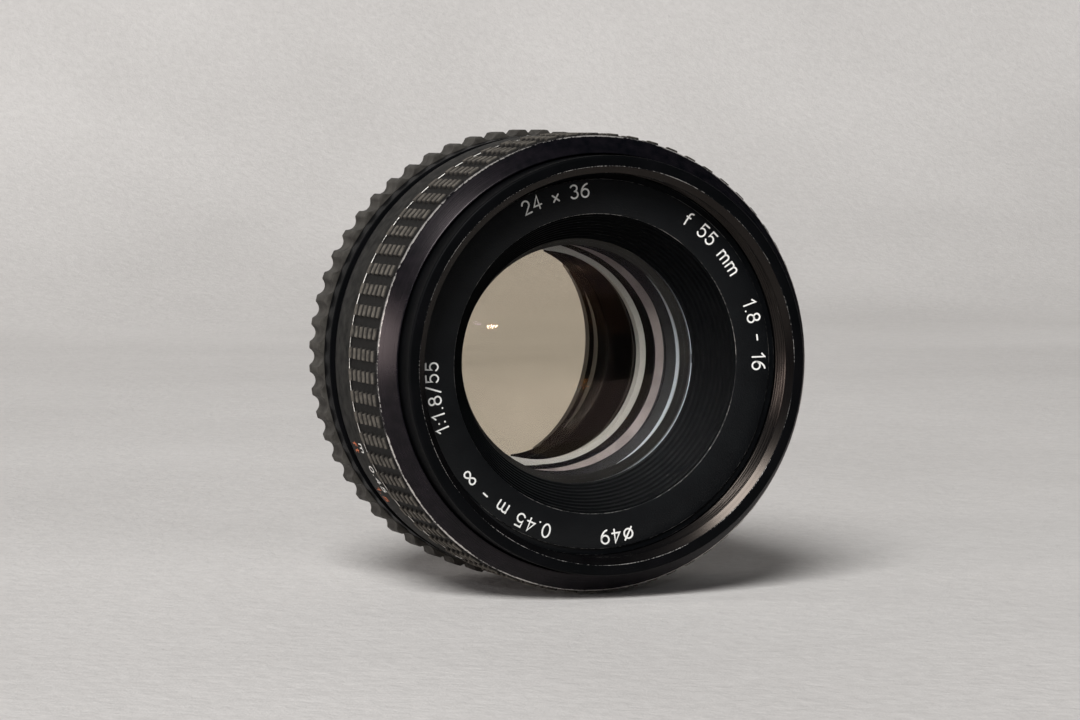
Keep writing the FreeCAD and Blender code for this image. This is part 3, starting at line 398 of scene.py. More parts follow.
def blotched(tree, dark, light, size):
    """Uneven colour in soft patches about size mm across."""
    here = add(tree, "ShaderNodeTexCoord", {}).outputs["Object"]
    patches = add(tree, "ShaderNodeTexNoise", {
        "Vector": here, "Scale": 1000 / size, "Detail": 4.0, "Roughness": 0.55}).outputs[0]
    amount = add(tree, "ShaderNodeMapRange", {
        "Value": patches, "From Min": 0.35, "From Max": 0.68}).outputs[0]
    return add(tree, "ShaderNodeMix", {
        "data_type": "RGBA", 0: amount, 6: colour(dark), 7: colour(light)}).outputs[2]


def dyed(tree, shader, dark, light, size):
    """Gives a finish an uneven colour and no wear."""
    tree.links.new(blotched(tree, dark, light, size), shader.inputs["Base Color"])


def grainy(tree, shader, per_mm, detail, strength, depth, roughness=0.5):
    """Bumps depth mm deep, so many to the mm, all over a surface. Gives their height from 0 to 1."""
    here = add(tree, "ShaderNodeTexCoord", {}).outputs["Object"]
    height = add(tree, "ShaderNodeTexNoise", {
        "Vector": here, "Scale": 1000 * per_mm, "Detail": detail, "Roughness": roughness}).outputs[0]
    bump = add(tree, "ShaderNodeBump", {"Height": height, "Strength": strength, "Distance": depth / 1000})
    tree.links.new(bump.outputs[0], shader.inputs["Normal"])
    return height


def arc(x, y, wide, high, start, end, steps=12):
    """Points of an elliptical arc, angles in degrees."""
    sweep = [math.radians(start + (end - start) * i / steps) for i in range(steps + 1)]
    return [(x + wide * math.cos(a), y + high * math.sin(a)) for a in sweep]


# Round-ended engraving letters: strokes on a box one unit high, each with its width.
LETTERS = {
    "0": (0.6, [arc(0.3, 0.5, 0.3, 0.5, 90, 450, 24)]),
    "1": (0.34, [[(0.02, 0.78), (0.26, 1), (0.26, 0)]]),
    "2": (0.58, [arc(0.29, 0.7, 0.28, 0.3, 165, -30) + [(0.02, 0), (0.58, 0)]]),
    "3": (0.58, [arc(0.28, 0.76, 0.26, 0.24, 150, -80), arc(0.28, 0.27, 0.3, 0.27, 80, -150)]),
    "4": (0.64, [[(0.64, 0.28), (0, 0.28), (0.44, 1), (0.44, 0)]]),
    "5": (0.6, [[(0.54, 1), (0.1, 1), (0.05, 0.52)] + arc(0.28, 0.33, 0.31, 0.33, 130, -150)]),
    "6": (0.6, [arc(0.3, 0.31, 0.3, 0.31, 0, 360, 24), arc(0.62, 0.31, 0.62, 0.72, 180, 104)]),
    "7": (0.56, [[(0, 1), (0.56, 1), (0.18, 0)]]),
    "8": (0.6, [arc(0.3, 0.76, 0.25, 0.24, 0, 360, 20), arc(0.3, 0.27, 0.3, 0.27, 0, 360, 20)]),
    "9": (0.6, [arc(0.3, 0.69, 0.3, 0.31, 0, 360, 24), arc(-0.02, 0.69, 0.62, 0.72, 0, -76)]),
    ".": (0.14, [[(0.06, 0.02), (0.08, 0.02)]]),
    ":": (0.14, [[(0.06, 0.12), (0.08, 0.12)], [(0.06, 0.62), (0.08, 0.62)]]),
    "-": (0.46, [[(0.04, 0.5), (0.42, 0.5)]]),
    "/": (0.5, [[(0, -0.08), (0.5, 1.08)]]),
    "f": (0.4, [[(0.14, 0)] + arc(0.34, 0.8, 0.2, 0.2, 180, 80, 8), [(0, 0.62), (0.34, 0.62)]]),
    "t": (0.36, [[(0.14, 0.95)] + arc(0.3, 0.16, 0.16, 0.16, 180, 280, 8), [(0, 0.66), (0.34, 0.66)]]),
    "m": (0.86, [[(0, 0), (0, 0.66)], arc(0.21, 0.45, 0.21, 0.21, 180, 0) + [(0.42, 0)],
                 arc(0.63, 0.45, 0.21, 0.21, 180, 0) + [(0.84, 0)]]),
    "x": (0.46, [[(0, 0.08), (0.46, 0.58)], [(0, 0.58), (0.46, 0.08)]]),
    "A": (0.7, [[(0, 0), (0.35, 1), (0.7, 0)], [(0.12, 0.32), (0.58, 0.32)]]),
    "M": (0.76, [[(0, 0), (0, 1), (0.38, 0.3), (0.76, 1), (0.76, 0)]]),
    "∞": (1.1, [[(0.55 + 0.55 * math.sin(a) / (1 + math.cos(a) ** 2),
                  0.5 + 0.72 * math.sin(a) * math.cos(a) / (1 + math.cos(a) ** 2))
                 for a in [math.radians(15 * i) for i in range(25)]]]),
    "ø": (0.76, [arc(0.38, 0.5, 0.34, 0.36, 0, 360, 24), [(0.04, 0.06), (0.72, 0.94)]]),
    " ": (0.42, []),
}
LETTER_GAP = 0.3
SHARPEST_MITRE = 0.55
ROUND_END = [math.radians(t) for t in (22, 45, 68)]


def stroke(points, width, spot, verts, faces):
    """Adds an engraved, painted stroke: a flat band with round ends. spot(u, v, lift) places it."""
    path = [Vector(p) for p in points]
    closed = (path[0] - path[-1]).length < 1e-4
    if closed:
        path.pop()
    stations = []
    for i, here in enumerate(path):
        before = (here - path[i - 1]).normalized() if closed or i > 0 else None
        after = (path[(i + 1) % len(path)] - here).normalized() if closed or i < len(path) - 1 else None
        along = ((before or after) + (after or before)).normalized()
        mitre = 1 / max(along.dot(after or before), SHARPEST_MITRE)
        stations.append((here, along, width / 2 * mitre))
    if not closed:
        head, along, half = stations[0]
        tail, onward, _ = stations[-1]
        start = [(head - along * half * math.sin(t), along, half * math.cos(t)) for t in reversed(ROUND_END)]
        end = [(tail + onward * half * math.sin(t), onward, half * math.cos(t)) for t in ROUND_END]
        stations = start + stations + end
    first = len(verts)
    for here, along, half in stations:
        side = Vector((-along.y, along.x)) * half
        for edge, lift in ((here - side, 0), (here - side, 1), (here + side, 1), (here + side, 0)):
            verts.append(spot(edge.x, edge.y, lift))
    skin = skin_faces(len(stations), 4, closed=True)
    if not closed:
        last = 4 * (len(stations) - 1)
        skin[-4:] = [(0, 1, 2, 3), (last + 3, last + 2, last + 1, last)]
    faces += [tuple(first + corner for corner in face) for face in skin]


def engraved(name, texts, material, body):
    """Paint-filled lettering on a body. A text is (words, height, line width, spot), centred on its spot."""
    verts = []
    faces = []
    for words, height, line, spot in texts:
        widths = [LETTERS[letter][0] + LETTER_GAP for letter in words]
        start = -(sum(widths) - LETTER_GAP) / 2
        for letter, width in zip(words, widths):
            for points in LETTERS[letter][1]:
                shifted = [((start + x) * height, (y - 0.5) * height) for x, y in points]
                stroke(shifted, line, spot, verts, faces)
            start += width
    fit(solid(name, verts, faces, material), body, "black_enamel")


# Bottom and top of the paint in a letter, above the surface. Sizes of lettering are its height and its line.
PAINT = (-0.02, 0.012)


def on_band(radius, angle, z, taper=0.0):
    """Places lettering on a band that widens by taper towards the front, which its top points to."""
    def spot(u, v, lift):
        band_r = radius + taper * v
        return place(band_r + PAINT[lift], angle + math.degrees(u / band_r), z + v)
    return spot


# White engraving enamel: dull, slightly yellowed, sitting in the letters.
white, tree, shader = new_finish("engraving_paint_white", {"Roughness": 0.55})
dyed(tree, shader, "e2e1dc", "f4f3ef", 0.8)

# Orange engraving enamel, for the feet scale and the index dot: dull, and unevenly faded.
orange, tree, shader = new_finish("engraving_paint_orange", {"Roughness": 0.55})
dyed(tree, shader, "b5541f", "c9682c", 0.8)

# Black anodised aluminium, turned before it was dyed: a semi-gloss grey-black that takes a soft sheen round
# the ring, rubbed bright in specks along its edges.
anodised, tree, shader = new_finish("black_anodised_aluminium", {"IOR": 1.5, "Specular IOR Level": 0.04})
turning_marks(tree, shader, 0.16, 0.003, 0.4, 0.05)
worn(tree, shader, blotched(tree, "060708", "0b0b0d", 5), "b9b6b2", 0.24, 0.25)

# The shell tapers towards the camera body, so the scallops stand clear of it all round.
_, housing_front, housing_r = span("rear_housing")
plain_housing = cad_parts["rear_housing"]
shell_verts = []
for vertex in plain_housing.data.vertices:
    spot = plain_housing.matrix_world @ vertex.co
    taper_r = housing_r - HOUSING_TAPER * (housing_front - HOUSING_FRONT_CUT + spot.y * 1000)
    squeeze = min(taper_r / 1000 / math.hypot(spot.x, spot.z), 1)
    shell_verts.append(Vector((spot.x * squeeze, spot.y, spot.z * squeeze)))
shell_faces = [tuple(face.vertices) for face in plain_housing.data.polygons]
shell = solid("rear_housing_shell", shell_verts, shell_faces, anodised)
fit(shell, "fixed_body", "black_enamel", "rear_housing")

letter_r = housing_r - HOUSING_TAPER * (housing_front - HOUSING_FRONT_CUT - SWITCH_HEIGHT)
engraved("switch_letters", [
    (letter, *SWITCH_LETTER, on_band(letter_r, angle, SWITCH_HEIGHT, HOUSING_TAPER))
    for letter, angle in SWITCH_LETTERS.items()], white, "fixed_body")

# Dull black moulded nylon, for the sliding switch: smooth, with a faint mould grain.
nylon, tree, shader = new_finish("black_nylon", {"Roughness": 0.42, "IOR": 1.53})
grainy(tree, shader, 5, 2.0, 0.4, 0.01)
dyed(tree, shader, "131313", "1b1b1b", 1.5)
coat(nylon, "auto_manual_switch")


# Springs, click ball and snap ring: hardened spring steel, wound or bent from drawn wire, and the ball
# ground from rod. All are left bright and oiled.
spring_steel = bare_metal("drawn_spring_steel", "9a9a9c", 0.05, 0.001, 0.24, 0.05)
coat(spring_steel, "pin_spring", "click_spring", "click_ball", "coupler_snap_ring")


# Aperture ring: turned aluminium with sixty scallops milled round its grip and a smooth number band in
# front. It is dyed black, which the band has kept, and the grip is worn to a warm grey by fingers.
RING_BORE_R = 26.05
SCALLOPS = 60
SCALLOP_DEPTH = 0.74
SCALLOP_LAND = 1.9
SCALLOP_ROWS = 8
SCALLOP_ROW_START = 0.5
SCALLOP_ROW_GAP = 0.45
WORN_WIDTH = 0.45
WORN_DROP = 0.09
WORN_BRIGHT = 0.45
APERTURE_GRIP_LENGTH = 4.4
NUMBER_BAND_DROP = 0.8
APERTURE_TRAVEL = 50.4
F_NUMBERS = ("1.8", "2.8", "4", "5.6", "8", "11", "16")
F_NUMBER = (1.45, 0.2)
TRACK_R = 27.1
TRACK_REAR_Z = 8.2
TRACK_FRONT_Z = 10.8
NOTCH_R = 0.6
NOTCH_DEPTH = 0.3
CLICK_ANGLE = 60.0

aperture_rear, aperture_front, aperture_r = span("aperture_ring")
number_band_z = aperture_rear + APERTURE_GRIP_LENGTH
number_band_r = aperture_r - NUMBER_BAND_DROP
scallop_pitch = 360 / SCALLOPS
half_gap = (scallop_pitch - SCALLOP_LAND) / 2
half_chord = aperture_r * math.sin(math.radians(half_gap))
scallop_r = (half_chord ** 2 + SCALLOP_DEPTH ** 2) / (2 * SCALLOP_DEPTH)
scallop_centre_r = aperture_r - SCALLOP_DEPTH + scallop_r


def ring_turn(f_number):
    """Turn of the ring from its first f-number: equal steps for equal stops."""
    stops = math.log(float(f_number) / float(F_NUMBERS[0]))
    return APERTURE_TRAVEL * stops / math.log(float(F_NUMBERS[-1]) / float(F_NUMBERS[0]))


def scallop(r, z, angle):
    """Radius of the scalloped grip or of the click track, and how hard its edges are rubbed."""
    if abs(r - TRACK_R) < HAIR:
        near = min(abs((angle - CLICK_ANGLE + ring_turn(f) + 180) % 360 - 180) for f in F_NUMBERS)
        away = TRACK_R * math.radians(near)
        notch = TRACK_R + NOTCH_DEPTH - NOTCH_R + math.sqrt(max(NOTCH_R ** 2 - away ** 2, 0))
        return max(r, notch), 0
    if r < number_band_r + HAIR or z > number_band_z + HAIR:
        return r, 0
    away = (angle + scallop_pitch / 2) % scallop_pitch - scallop_pitch / 2
    reach = scallop_r ** 2 - (scallop_centre_r * math.sin(math.radians(away))) ** 2
    floor_r = scallop_centre_r * math.cos(math.radians(away)) - math.sqrt(max(reach, 0))
    if reach < 0 or floor_r > aperture_r:
        floor_r = aperture_r
    edge = max(1 - abs(abs(away) - half_gap) / WORN_WIDTH, 0)
    floor_r = min(floor_r, aperture_r) - WORN_DROP * edge ** 2
    return max(min(r, floor_r), number_band_r - 2 * HAIR), WORN_BRIGHT * edge


def refinish(piece, material, there):
    """Gives a piece a second finish on the faces whose middle, by radius and height in mm, is there."""
    piece.data.materials.append(material)
    for face in piece.data.polygons:
        if there(1000 * math.hypot(face.center.x, face.center.z), -face.center.y * 1000):
            face.material_index = 1


# Hard-anodised aluminium gone warm grey with handling: dull, in soft patches, bright on worn edges.
hard_anodised, tree, shader = new_finish("hard_anodised_aluminium", {
    "IOR": 1.5, "Specular IOR Level": 0.03})
turning_marks(tree, shader, 0.14, 0.003, 0.5, 0.07)
worn(tree, shader, blotched(tree, "32302d", "484642", 1.5), "b5b3aa", 0.26, 0.3)

# Degrees across one scallop, closer together at its edge.
across = [0, 0.5, 0.95, 1.35, 1.65, 1.85, 2.0, 2.1, 2.3, 3.0]
across = across + [scallop_pitch - a for a in reversed(across[1:-1])]
scallop_angles = [i * scallop_pitch + a for i in range(SCALLOPS) for a in across]
aperture_ring = turned("aperture_ring_scalloped", [
    (RING_BORE_R, aperture_rear, 0.1), (aperture_r, aperture_rear, 0.3),
    *[(aperture_r, aperture_rear + SCALLOP_ROW_START + SCALLOP_ROW_GAP * i) for i in range(SCALLOP_ROWS)],
    (aperture_r, number_band_z, 0.3, 0.6), (number_band_r, number_band_z),
    (number_band_r, aperture_front, 0.12, 0.3), (RING_BORE_R, aperture_front, 0.1, 0.3),
    (RING_BORE_R, TRACK_FRONT_Z), (TRACK_R, TRACK_FRONT_Z), (TRACK_R, TRACK_REAR_Z),
    (RING_BORE_R, TRACK_REAR_Z),
], hard_anodised, angles=scallop_angles, cut=scallop)
refinish(aperture_ring, anodised, lambda r, z: z > number_band_z + HAIR)
fit(aperture_ring, "aperture_body", "black_enamel", "aperture_ring")

number_z = (number_band_z + aperture_front) / 2
engraved("f_numbers", [
    (f_number, *F_NUMBER, on_band(number_band_r, 90 - ring_turn(f_number), number_z))
    for f_number in F_NUMBERS], white, "aperture_body")
coat(hard_anodised, "aperture_coupler")


# Depth-of-field ring: a fixed, recessed band of black anodised aluminium in front of the aperture ring,
# with the index line and a pair of engraved ticks for each f-number, as far out as the focus ring turns for
# 0.03 mm of blur.
DEPTH_BORE_R = 26.0
DEPTH_CHAMFER = 0.3
DEPTH_BLUR_TURNS = {"4": 3.13, "8": 6.26, "16": 12.53}
DEPTH_TICK = (0.9, 0.16)
DEPTH_TICK_DROP = 0.85
DEPTH_NUMBER = (1.0, 0.14)
DEPTH_NUMBER_DROP = 0.1
DEPTH_NUMBER_GAP = 2.4
INDEX_LINE = (1.7, 0.28)
INDEX_LINE_DROP = 0.15
INDEX_DOT = (1.0, 0.55)
INDEX_DOT_DROP = 0.9
INDEX_DOT_ANGLE = 94.0

depth_rear, depth_front, depth_r = span("depth_scale_ring")
depth_mid = (depth_rear + depth_front) / 2
depth_ring = turned("depth_ring", [
    (DEPTH_BORE_R, depth_rear), (depth_r, depth_rear, 0.12, 0.2),
    (depth_r, depth_front - DEPTH_CHAMFER, 0.1, 0.2), (depth_r - DEPTH_CHAMFER, depth_front, 0.1),
    (DEPTH_BORE_R, depth_front),
], anodised)
fit(depth_ring, "fixed_body", "black_enamel", "depth_scale_ring")

LETTERS["|"] = (0.1, [[(0.05, 0), (0.05, 1)]])
LETTERS["dot"] = (0.1, [[(0.04, 0.5), (0.06, 0.5)]])
marks = [("|", *INDEX_LINE, on_band(depth_r, 90, depth_mid - INDEX_LINE_DROP))]
for f_number, degrees in DEPTH_BLUR_TURNS.items():
    for side in (-1, 1):
        tick = on_band(depth_r, 90 + side * degrees, depth_front - DEPTH_TICK_DROP)
        number_angle = 90 + side * (degrees + DEPTH_NUMBER_GAP)
        number = on_band(depth_r, number_angle, depth_mid - DEPTH_NUMBER_DROP)
        marks += [("|", *DEPTH_TICK, tick), (f_number, *DEPTH_NUMBER, number)]
engraved("depth_scale", marks, white, "fixed_body")
index_spot = on_band(depth_r, INDEX_DOT_ANGLE, depth_front - INDEX_DOT_DROP)
engraved("index_dot", [(["dot"], *INDEX_DOT, index_spot)], orange, "fixed_body")


# Sliding barrel, cells and clamp rings, with the iris housing and the rear cover: turned aluminium parts
# that stay inside the lens, all dyed black against stray light.

# Matt black anodised aluminium: dark and dull, with fine turning marks.
matt_black, tree, shader = new_finish("matt_black_anodised_aluminium", {
    "IOR": 1.5, "Specular IOR Level": 0.2})
turning_marks(tree, shader, 0.12, 0.003, 0.5, 0.06)
worn(tree, shader, blotched(tree, "060606", "0b0b0c", 3), "8f8c88", 0.32, 0.2)
coat(matt_black, "lens_barrel", "front_cell", "cell_lock_ring", "iris_housing", "rear_cell", "rear_cover",
     "stop_side_clamp_ring", "rear_clamp_ring")

# The iris plate is dyed the same black, and its hole is reamed afterwards, which leaves the edge bare.
REAMED_R = 9.6
reamed, tree, shader = new_finish("reamed_iris_plate", {"IOR": 1.5, "Specular IOR Level": 0.2})
turning_marks(tree, shader, 0.12, 0.003, 0.42, 0.06)
radius, _ = off_axis(tree, add(tree, "ShaderNodeTexCoord", {}).outputs["Object"])
bare_edge = add(tree, "ShaderNodeMath", {"operation": "LESS_THAN", 0: radius, 1: REAMED_R / 1000}).outputs[0]
skin = add(tree, "ShaderNodeMix", {
    "data_type": "RGBA", 0: bare_edge, 6: blotched(tree, "060606", "0b0b0c", 3), 7: colour("a9abae")})
tree.links.new(skin.outputs[2], shader.inputs["Base Color"])
coat(reamed, "iris_plate")

# Satin black anodised aluminium: machined rings beside the glasses, which catch light at a shallow angle.
satin_black, tree, shader = new_finish("satin_black_anodised_aluminium", {"IOR": 1.5})
turning_marks(tree, shader, 0.1, 0.002, 0.3, 0.06)
worn(tree, shader, blotched(tree, "101010", "181716", 4), "c8d2dc", 0.02, 0.3)


# Front spacer: the ring that keeps elements 1 and 2 apart. Its ends are dyed black with the rest, and its
# bore is skimmed afterwards to let the glass in, which leaves it bare.
SPACER_BORE_R = 14.2
spacer_rear, spacer_front, spacer_r = span("front_spacer")
front_spacer = turned("front_spacer_ring", [
    (SPACER_BORE_R, spacer_rear), (spacer_r, spacer_rear), (spacer_r, spacer_front, 0.05),
    (SPACER_BORE_R + 2 * HAIR, spacer_front),
], satin_black, cut=lambda r, z, angle: (r, 1.0 if r < SPACER_BORE_R + HAIR else 0.0))
fit(front_spacer, "sliding_body", "black_anodised", "front_spacer")


# Glass: six ground and polished elements in five groups, each with a blackened ground rim. The two behind
# the iris are cemented together and are one piece of glass here. Radii of the faces in mm, positive where
# the centre lies behind the face; vertex is the height of the front face, and clear the polished radius.
Glass = namedtuple("Glass", "nodes vertex faces thick rim clear ior body coating bare_flat")
GLASSES = [
    Glass(["element_1"], 28.6, (36.5, 102.0), 4.6, 16.3, (16.3, 16.3), 1.77, "f6f3ee", "6c5946", False),
    Glass(["element_2"], 23.8, (22.0, 41.0), 4.6, 14.6, (14.6, 14.6), 1.85, "f6f3ee", "4a3c50", False),
    Glass(["element_3"], 18.2, (43.0, 14.1), 1.5, 12.0, (12.0, 9.9), 1.58, "f8f5f0", "5f4f40", True),
    Glass(["element_4", "element_5"], 6.4, (-15.5, -22.7), 7.5, 11.6, (9.6, 11.6), 1.64, "f6f3ee",
          "5e4228", False),
    Glass(["element_6"], -1.4, (180.0, -51.0), 3.6, 13.0, (13.0, 13.0), 1.68, "f6f3ee", "3f4f61", False),
]
FACE_RINGS = 28
GLASS_SEGMENTS = 160
GLASS_FIT = 0.01
GLASS_BEVEL = 0.12
GROUND_WIDTH = 0.88


def sag(radius, r):
    """Depth of a spherical face at a radius from its vertex."""
    return math.copysign(abs(radius) - math.sqrt(radius ** 2 - r ** 2), radius)


def glass_outline(element):
    """Outline of an element from its front vertex over the rim to its rear vertex."""
    rim = element.rim - GLASS_FIT
    sides = []
    for side, vertex in enumerate((element.vertex, element.vertex - element.thick)):
        clear = element.clear[side]
        face = [(clear * i / FACE_RINGS, vertex - sag(element.faces[side], clear * i / FACE_RINGS))
                for i in range(FACE_RINGS + 1)]
        edge_z = face[-1][1]
        if clear < rim - GROUND_WIDTH:
            face.append((clear + GROUND_WIDTH, edge_z))
            face.append((rim - GLASS_BEVEL, edge_z))
        else:
            face[-1] = (rim - GLASS_BEVEL, edge_z)
        sides.append(face)
    front, rear = sides
    return front + [(rim, front[-1][1] - GLASS_BEVEL), (rim, rear[-1][1] + GLASS_BEVEL)] + rear[::-1]


# Blackened ground glass: the dull edge of each element.
blackened, tree, shader = new_finish("blackened_ground_glass", {
    "Roughness": 0.6, "Specular IOR Level": 0.15})
dyed(tree, shader, "060606", "0c0c0c", 2)

# Ground glass left unpainted, on the flat round a hollow face: dull and greyish white.
ground, tree, shader = new_finish("ground_glass", {"Roughness": 0.5, "IOR": 1.6})
dyed(tree, shader, "6a6266", "857d80", 2)

# Coated glass: clear and polished, each element with the tint that its coating leaves to its reflections.
for element in GLASSES:
    node_name = element.nodes[0]
    glass, tree, shader = new_finish("coated_glass_" + node_name[-1], {
        "Transmission Weight": 1.0, "Roughness": 0.0, "IOR": element.ior,
        "Specular Tint": colour(element.coating), "Base Color": colour(element.body)})
    outline = glass_outline(element)
    verts = []
    for i in range(GLASS_SEGMENTS):
        verts += [place(r, 360 * i / GLASS_SEGMENTS, z) for r, z in outline]
    faces = skin_faces(GLASS_SEGMENTS, len(outline), closed=False)
    piece = solid("glass_" + node_name, verts, faces, glass, sharp=20)
    piece.data.materials.append(blackened)
    piece.data.materials.append(ground)
    face_r = element.rim - GLASS_FIT - GLASS_BEVEL
    for face in piece.data.polygons:
        corners = [piece.data.vertices[v].co for v in face.vertices]
        reach = [1000 * math.hypot(corner.x, corner.z) for corner in corners]
        clear = element.clear[0 if face.normal.y < 0 else 1]
        if min(reach) > min(clear, face_r) - 2 * HAIR:
            on_flat = face.normal.y > 0 and max(reach) < clear + GROUND_WIDTH + 2 * HAIR
            face.material_index = 2 if element.bare_flat and on_flat else 1
    piece.visible_shadow = False
    fit(piece, "sliding_body", "coated_glass", *element.nodes)


# Clamp ring of the front glass: a black turned ring with a chamfered bore, rubbed bright along its edges.
# One slot cut straight across makes its two spanner notches.
CLAMP_BORE_R = 15.75
CLAMP_R = 17.3
CLAMP_CHAMFER = 0.4
CLAMP_LIFT = 0.02
NOTCH_CUTTER = (40, 1.1, 0.8)
ACROSS = Vector((1, 0, 0))

clamp_rear, clamp_front, _ = span("front_clamp_ring")
clamp_ring = turned("front_clamp", [
    (CLAMP_BORE_R, clamp_rear + CLAMP_LIFT, 0.05), (CLAMP_R, clamp_rear + CLAMP_LIFT, 0.05),
    (CLAMP_R, clamp_front, 0.1), (CLAMP_BORE_R + CLAMP_CHAMFER, clamp_front, 0.08),
    (CLAMP_BORE_R, clamp_front - CLAMP_CHAMFER, 0.08),
], satin_black, segments=300)
bored(clamp_ring, [bar("notch", place(0, 0, clamp_front) * 1000, ACROSS, -INTO_CAMERA, *NOTCH_CUTTER)])
fit(clamp_ring, "sliding_body", "black_anodised", "front_clamp_ring")


# Front baffle: a turned funnel from the name ring down to the glass, its inside cut into fine ridges and
# painted matt black so that stray light dies in them. Only the ridge crests catch a little light.
NAME_BORE_R = 18.9
BAFFLE_THROAT_R = 15.6
BAFFLE_RIDGES = 9
RIDGE_SLOPE = 0.35
RIDGE_RISE = 0.8
BAFFLE_FLANGE_R = 24.08
BAFFLE_WALL = 1.1
BAFFLE_FLANGE = 0.8
BAFFLE_FIT = 0.02

baffle_rear, baffle_front, _ = span("front_baffle")
flange_z = baffle_front - BAFFLE_FLANGE
rise = (baffle_front - baffle_rear) / BAFFLE_RIDGES
widen = (NAME_BORE_R - BAFFLE_THROAT_R) / BAFFLE_RIDGES
ridges = []
for ridge in range(BAFFLE_RIDGES):
    foot_r = BAFFLE_THROAT_R + ridge * widen
    foot_z = baffle_rear + ridge * rise
    crest = (foot_r + widen * RIDGE_SLOPE, foot_z + rise * RIDGE_RISE, 0.04)
    ridges += [(foot_r, foot_z, 0.06), crest]

# Matt black paint, sprayed thin: soot-black and dull, with a greyer line where a crest has been rubbed.
matt_paint, tree, shader = new_finish("matt_black_paint", {
    "Roughness": 0.6, "IOR": 1.5, "Specular IOR Level": 0.05})
worn(tree, shader, blotched(tree, "030405", "060708", 2), "55524f", 0.36, 0.15)
baffle = turned("ridged_baffle", [
    *ridges, (NAME_BORE_R, baffle_front - BAFFLE_FIT, 0.06), (BAFFLE_FLANGE_R, baffle_front - BAFFLE_FIT),
    (BAFFLE_FLANGE_R, flange_z), (NAME_BORE_R + BAFFLE_WALL, flange_z),
    (BAFFLE_THROAT_R + BAFFLE_WALL, baffle_rear),
], matt_paint, segments=300, sharp=25)
fit(baffle, "sliding_body", "black_anodised", "front_baffle")


# Iris: six thin spring-steel blades, stamped from strip and blackened by heat, with a soft oily sheen. Each
# swings on a pin in the iris plate, and a second pin in a cam slot of the drive ring moves it.
blued, tree, shader = new_finish("blackened_spring_steel", {"Metallic": 1.0})
turning_marks(tree, shader, 0.2, 0.001, 0.38, 0.06)
dyed(tree, shader, "26272b", "34343a", 3)
coat(blued, *["iris_blade_%d" % (k + 1) for k in range(6)])


# Name ring: a dished black ring behind the filter thread, sprayed with a finely grained enamel and
# engraved. It carries only plain ratings and ranges, each at the angle given with it.
NAME_DISH = 0.35
NAME_FACE_R = 23.3
NAME_STEP = 0.3
NAME_R = 24.08
NAME_LETTER_R = 21.9
NAME_LETTER = (1.65, 0.21)
GRAINS_PER_MM = 6.5
CLUMPS_PER_MM = 3
GRAIN_DEPTH = 0.03
NAME_TEXTS = {190: "1:1.8/55", 105: "24 x 36", 27: "f 55 mm   1.8 - 16", 235: "0.45 m - ∞", 277: "ø49"}

name_rear, name_front, _ = span("name_ring")


def on_dish(angle):
    """Places lettering on the dished face, reading clockwise with its top outwards."""
    def spot(u, v, lift):
        r = NAME_LETTER_R + v
        face = name_front - NAME_DISH * (NAME_FACE_R - r) / (NAME_FACE_R - NAME_BORE_R)
        return place(r, angle - math.degrees(u / NAME_LETTER_R), face + PAINT[lift])
    return spot


# Grained black enamel: deep black, with a fine sprayed grain that glitters where it mirrors a lamp. The
# grain is drawn coarser than it is, so that it shows.
grained, tree, shader = new_finish("grained_black_enamel", {
    "Roughness": 0.34, "IOR": 1.5, "Specular IOR Level": 0.38})
here = add(tree, "ShaderNodeTexCoord", {}).outputs["Object"]
fine = add(tree, "ShaderNodeTexVoronoi", {"Vector": here, "Scale": 1000 * GRAINS_PER_MM}).outputs[0]
broad = add(tree, "ShaderNodeTexNoise", {
    "Vector": here, "Scale": 1000 * CLUMPS_PER_MM, "Detail": 3.0}).outputs[0]
both = add(tree, "ShaderNodeMath", {"operation": "ADD", 0: fine, 1: broad}).outputs[0]
bump = add(tree, "ShaderNodeBump", {"Height": both, "Strength": 0.5, "Distance": GRAIN_DEPTH / 1000})
tree.links.new(bump.outputs[0], shader.inputs["Normal"])
worn(tree, shader, blotched(tree, "040507", "080a0c", 3), "b9b6b1", 0.2, 0.4)
name_ring = turned("name_ring_dished", [
    (NAME_BORE_R, name_rear), (NAME_R, name_rear), (NAME_R, name_front - NAME_STEP, 0.03),
    (NAME_FACE_R, name_front - NAME_STEP, 0.03), (NAME_FACE_R, name_front, 0.08),
    (NAME_BORE_R, name_front - NAME_DISH, 0.06),
], grained, segments=360)
fit(name_ring, "sliding_body", "black_enamel", "name_ring")
engraved("name_ring_lettering", [
    (words, *NAME_LETTER, on_dish(angle)) for angle, words in NAME_TEXTS.items()], white, "sliding_body")


# Front rim: the filter ring, turned from aluminium, threaded inside 49 x 0.75 mm and anodised black. Its
# rounded lip is rubbed bright along the inner corner, where caps and hoods go on and off.
FILTER_MINOR_R = 24.1
FILTER_PITCH = 0.75
FILTER_DEPTH = 0.32
FILTER_THREAD_ROWS = 72
FILTER_RUNOUT = (0.3, 0.5)
LIP_WIDTH = 0.85
LIP_DEPTH = 0.6
RIM_BACK_R = 24.15
RELIEF_R = 24.6
RELIEF_Z = 33.75
BURNISHED_R = 24.7
BURNISHED_MARGIN = 0.2
BAFFLE_SEAT_Z = 32.3

# Black anodised aluminium burnished by filters screwed in and out: glossy on the thread.
glossy_black, tree, shader = new_finish("burnished_black_anodised_aluminium", {
    "IOR": 1.5, "Specular IOR Level": 0.3, "Specular Tint": colour("f6e4d6")})
turning_marks(tree, shader, 0.3, 0.002, 0.24, 0.06)
dyed(tree, shader, "050506", "0a0a0b", 4)

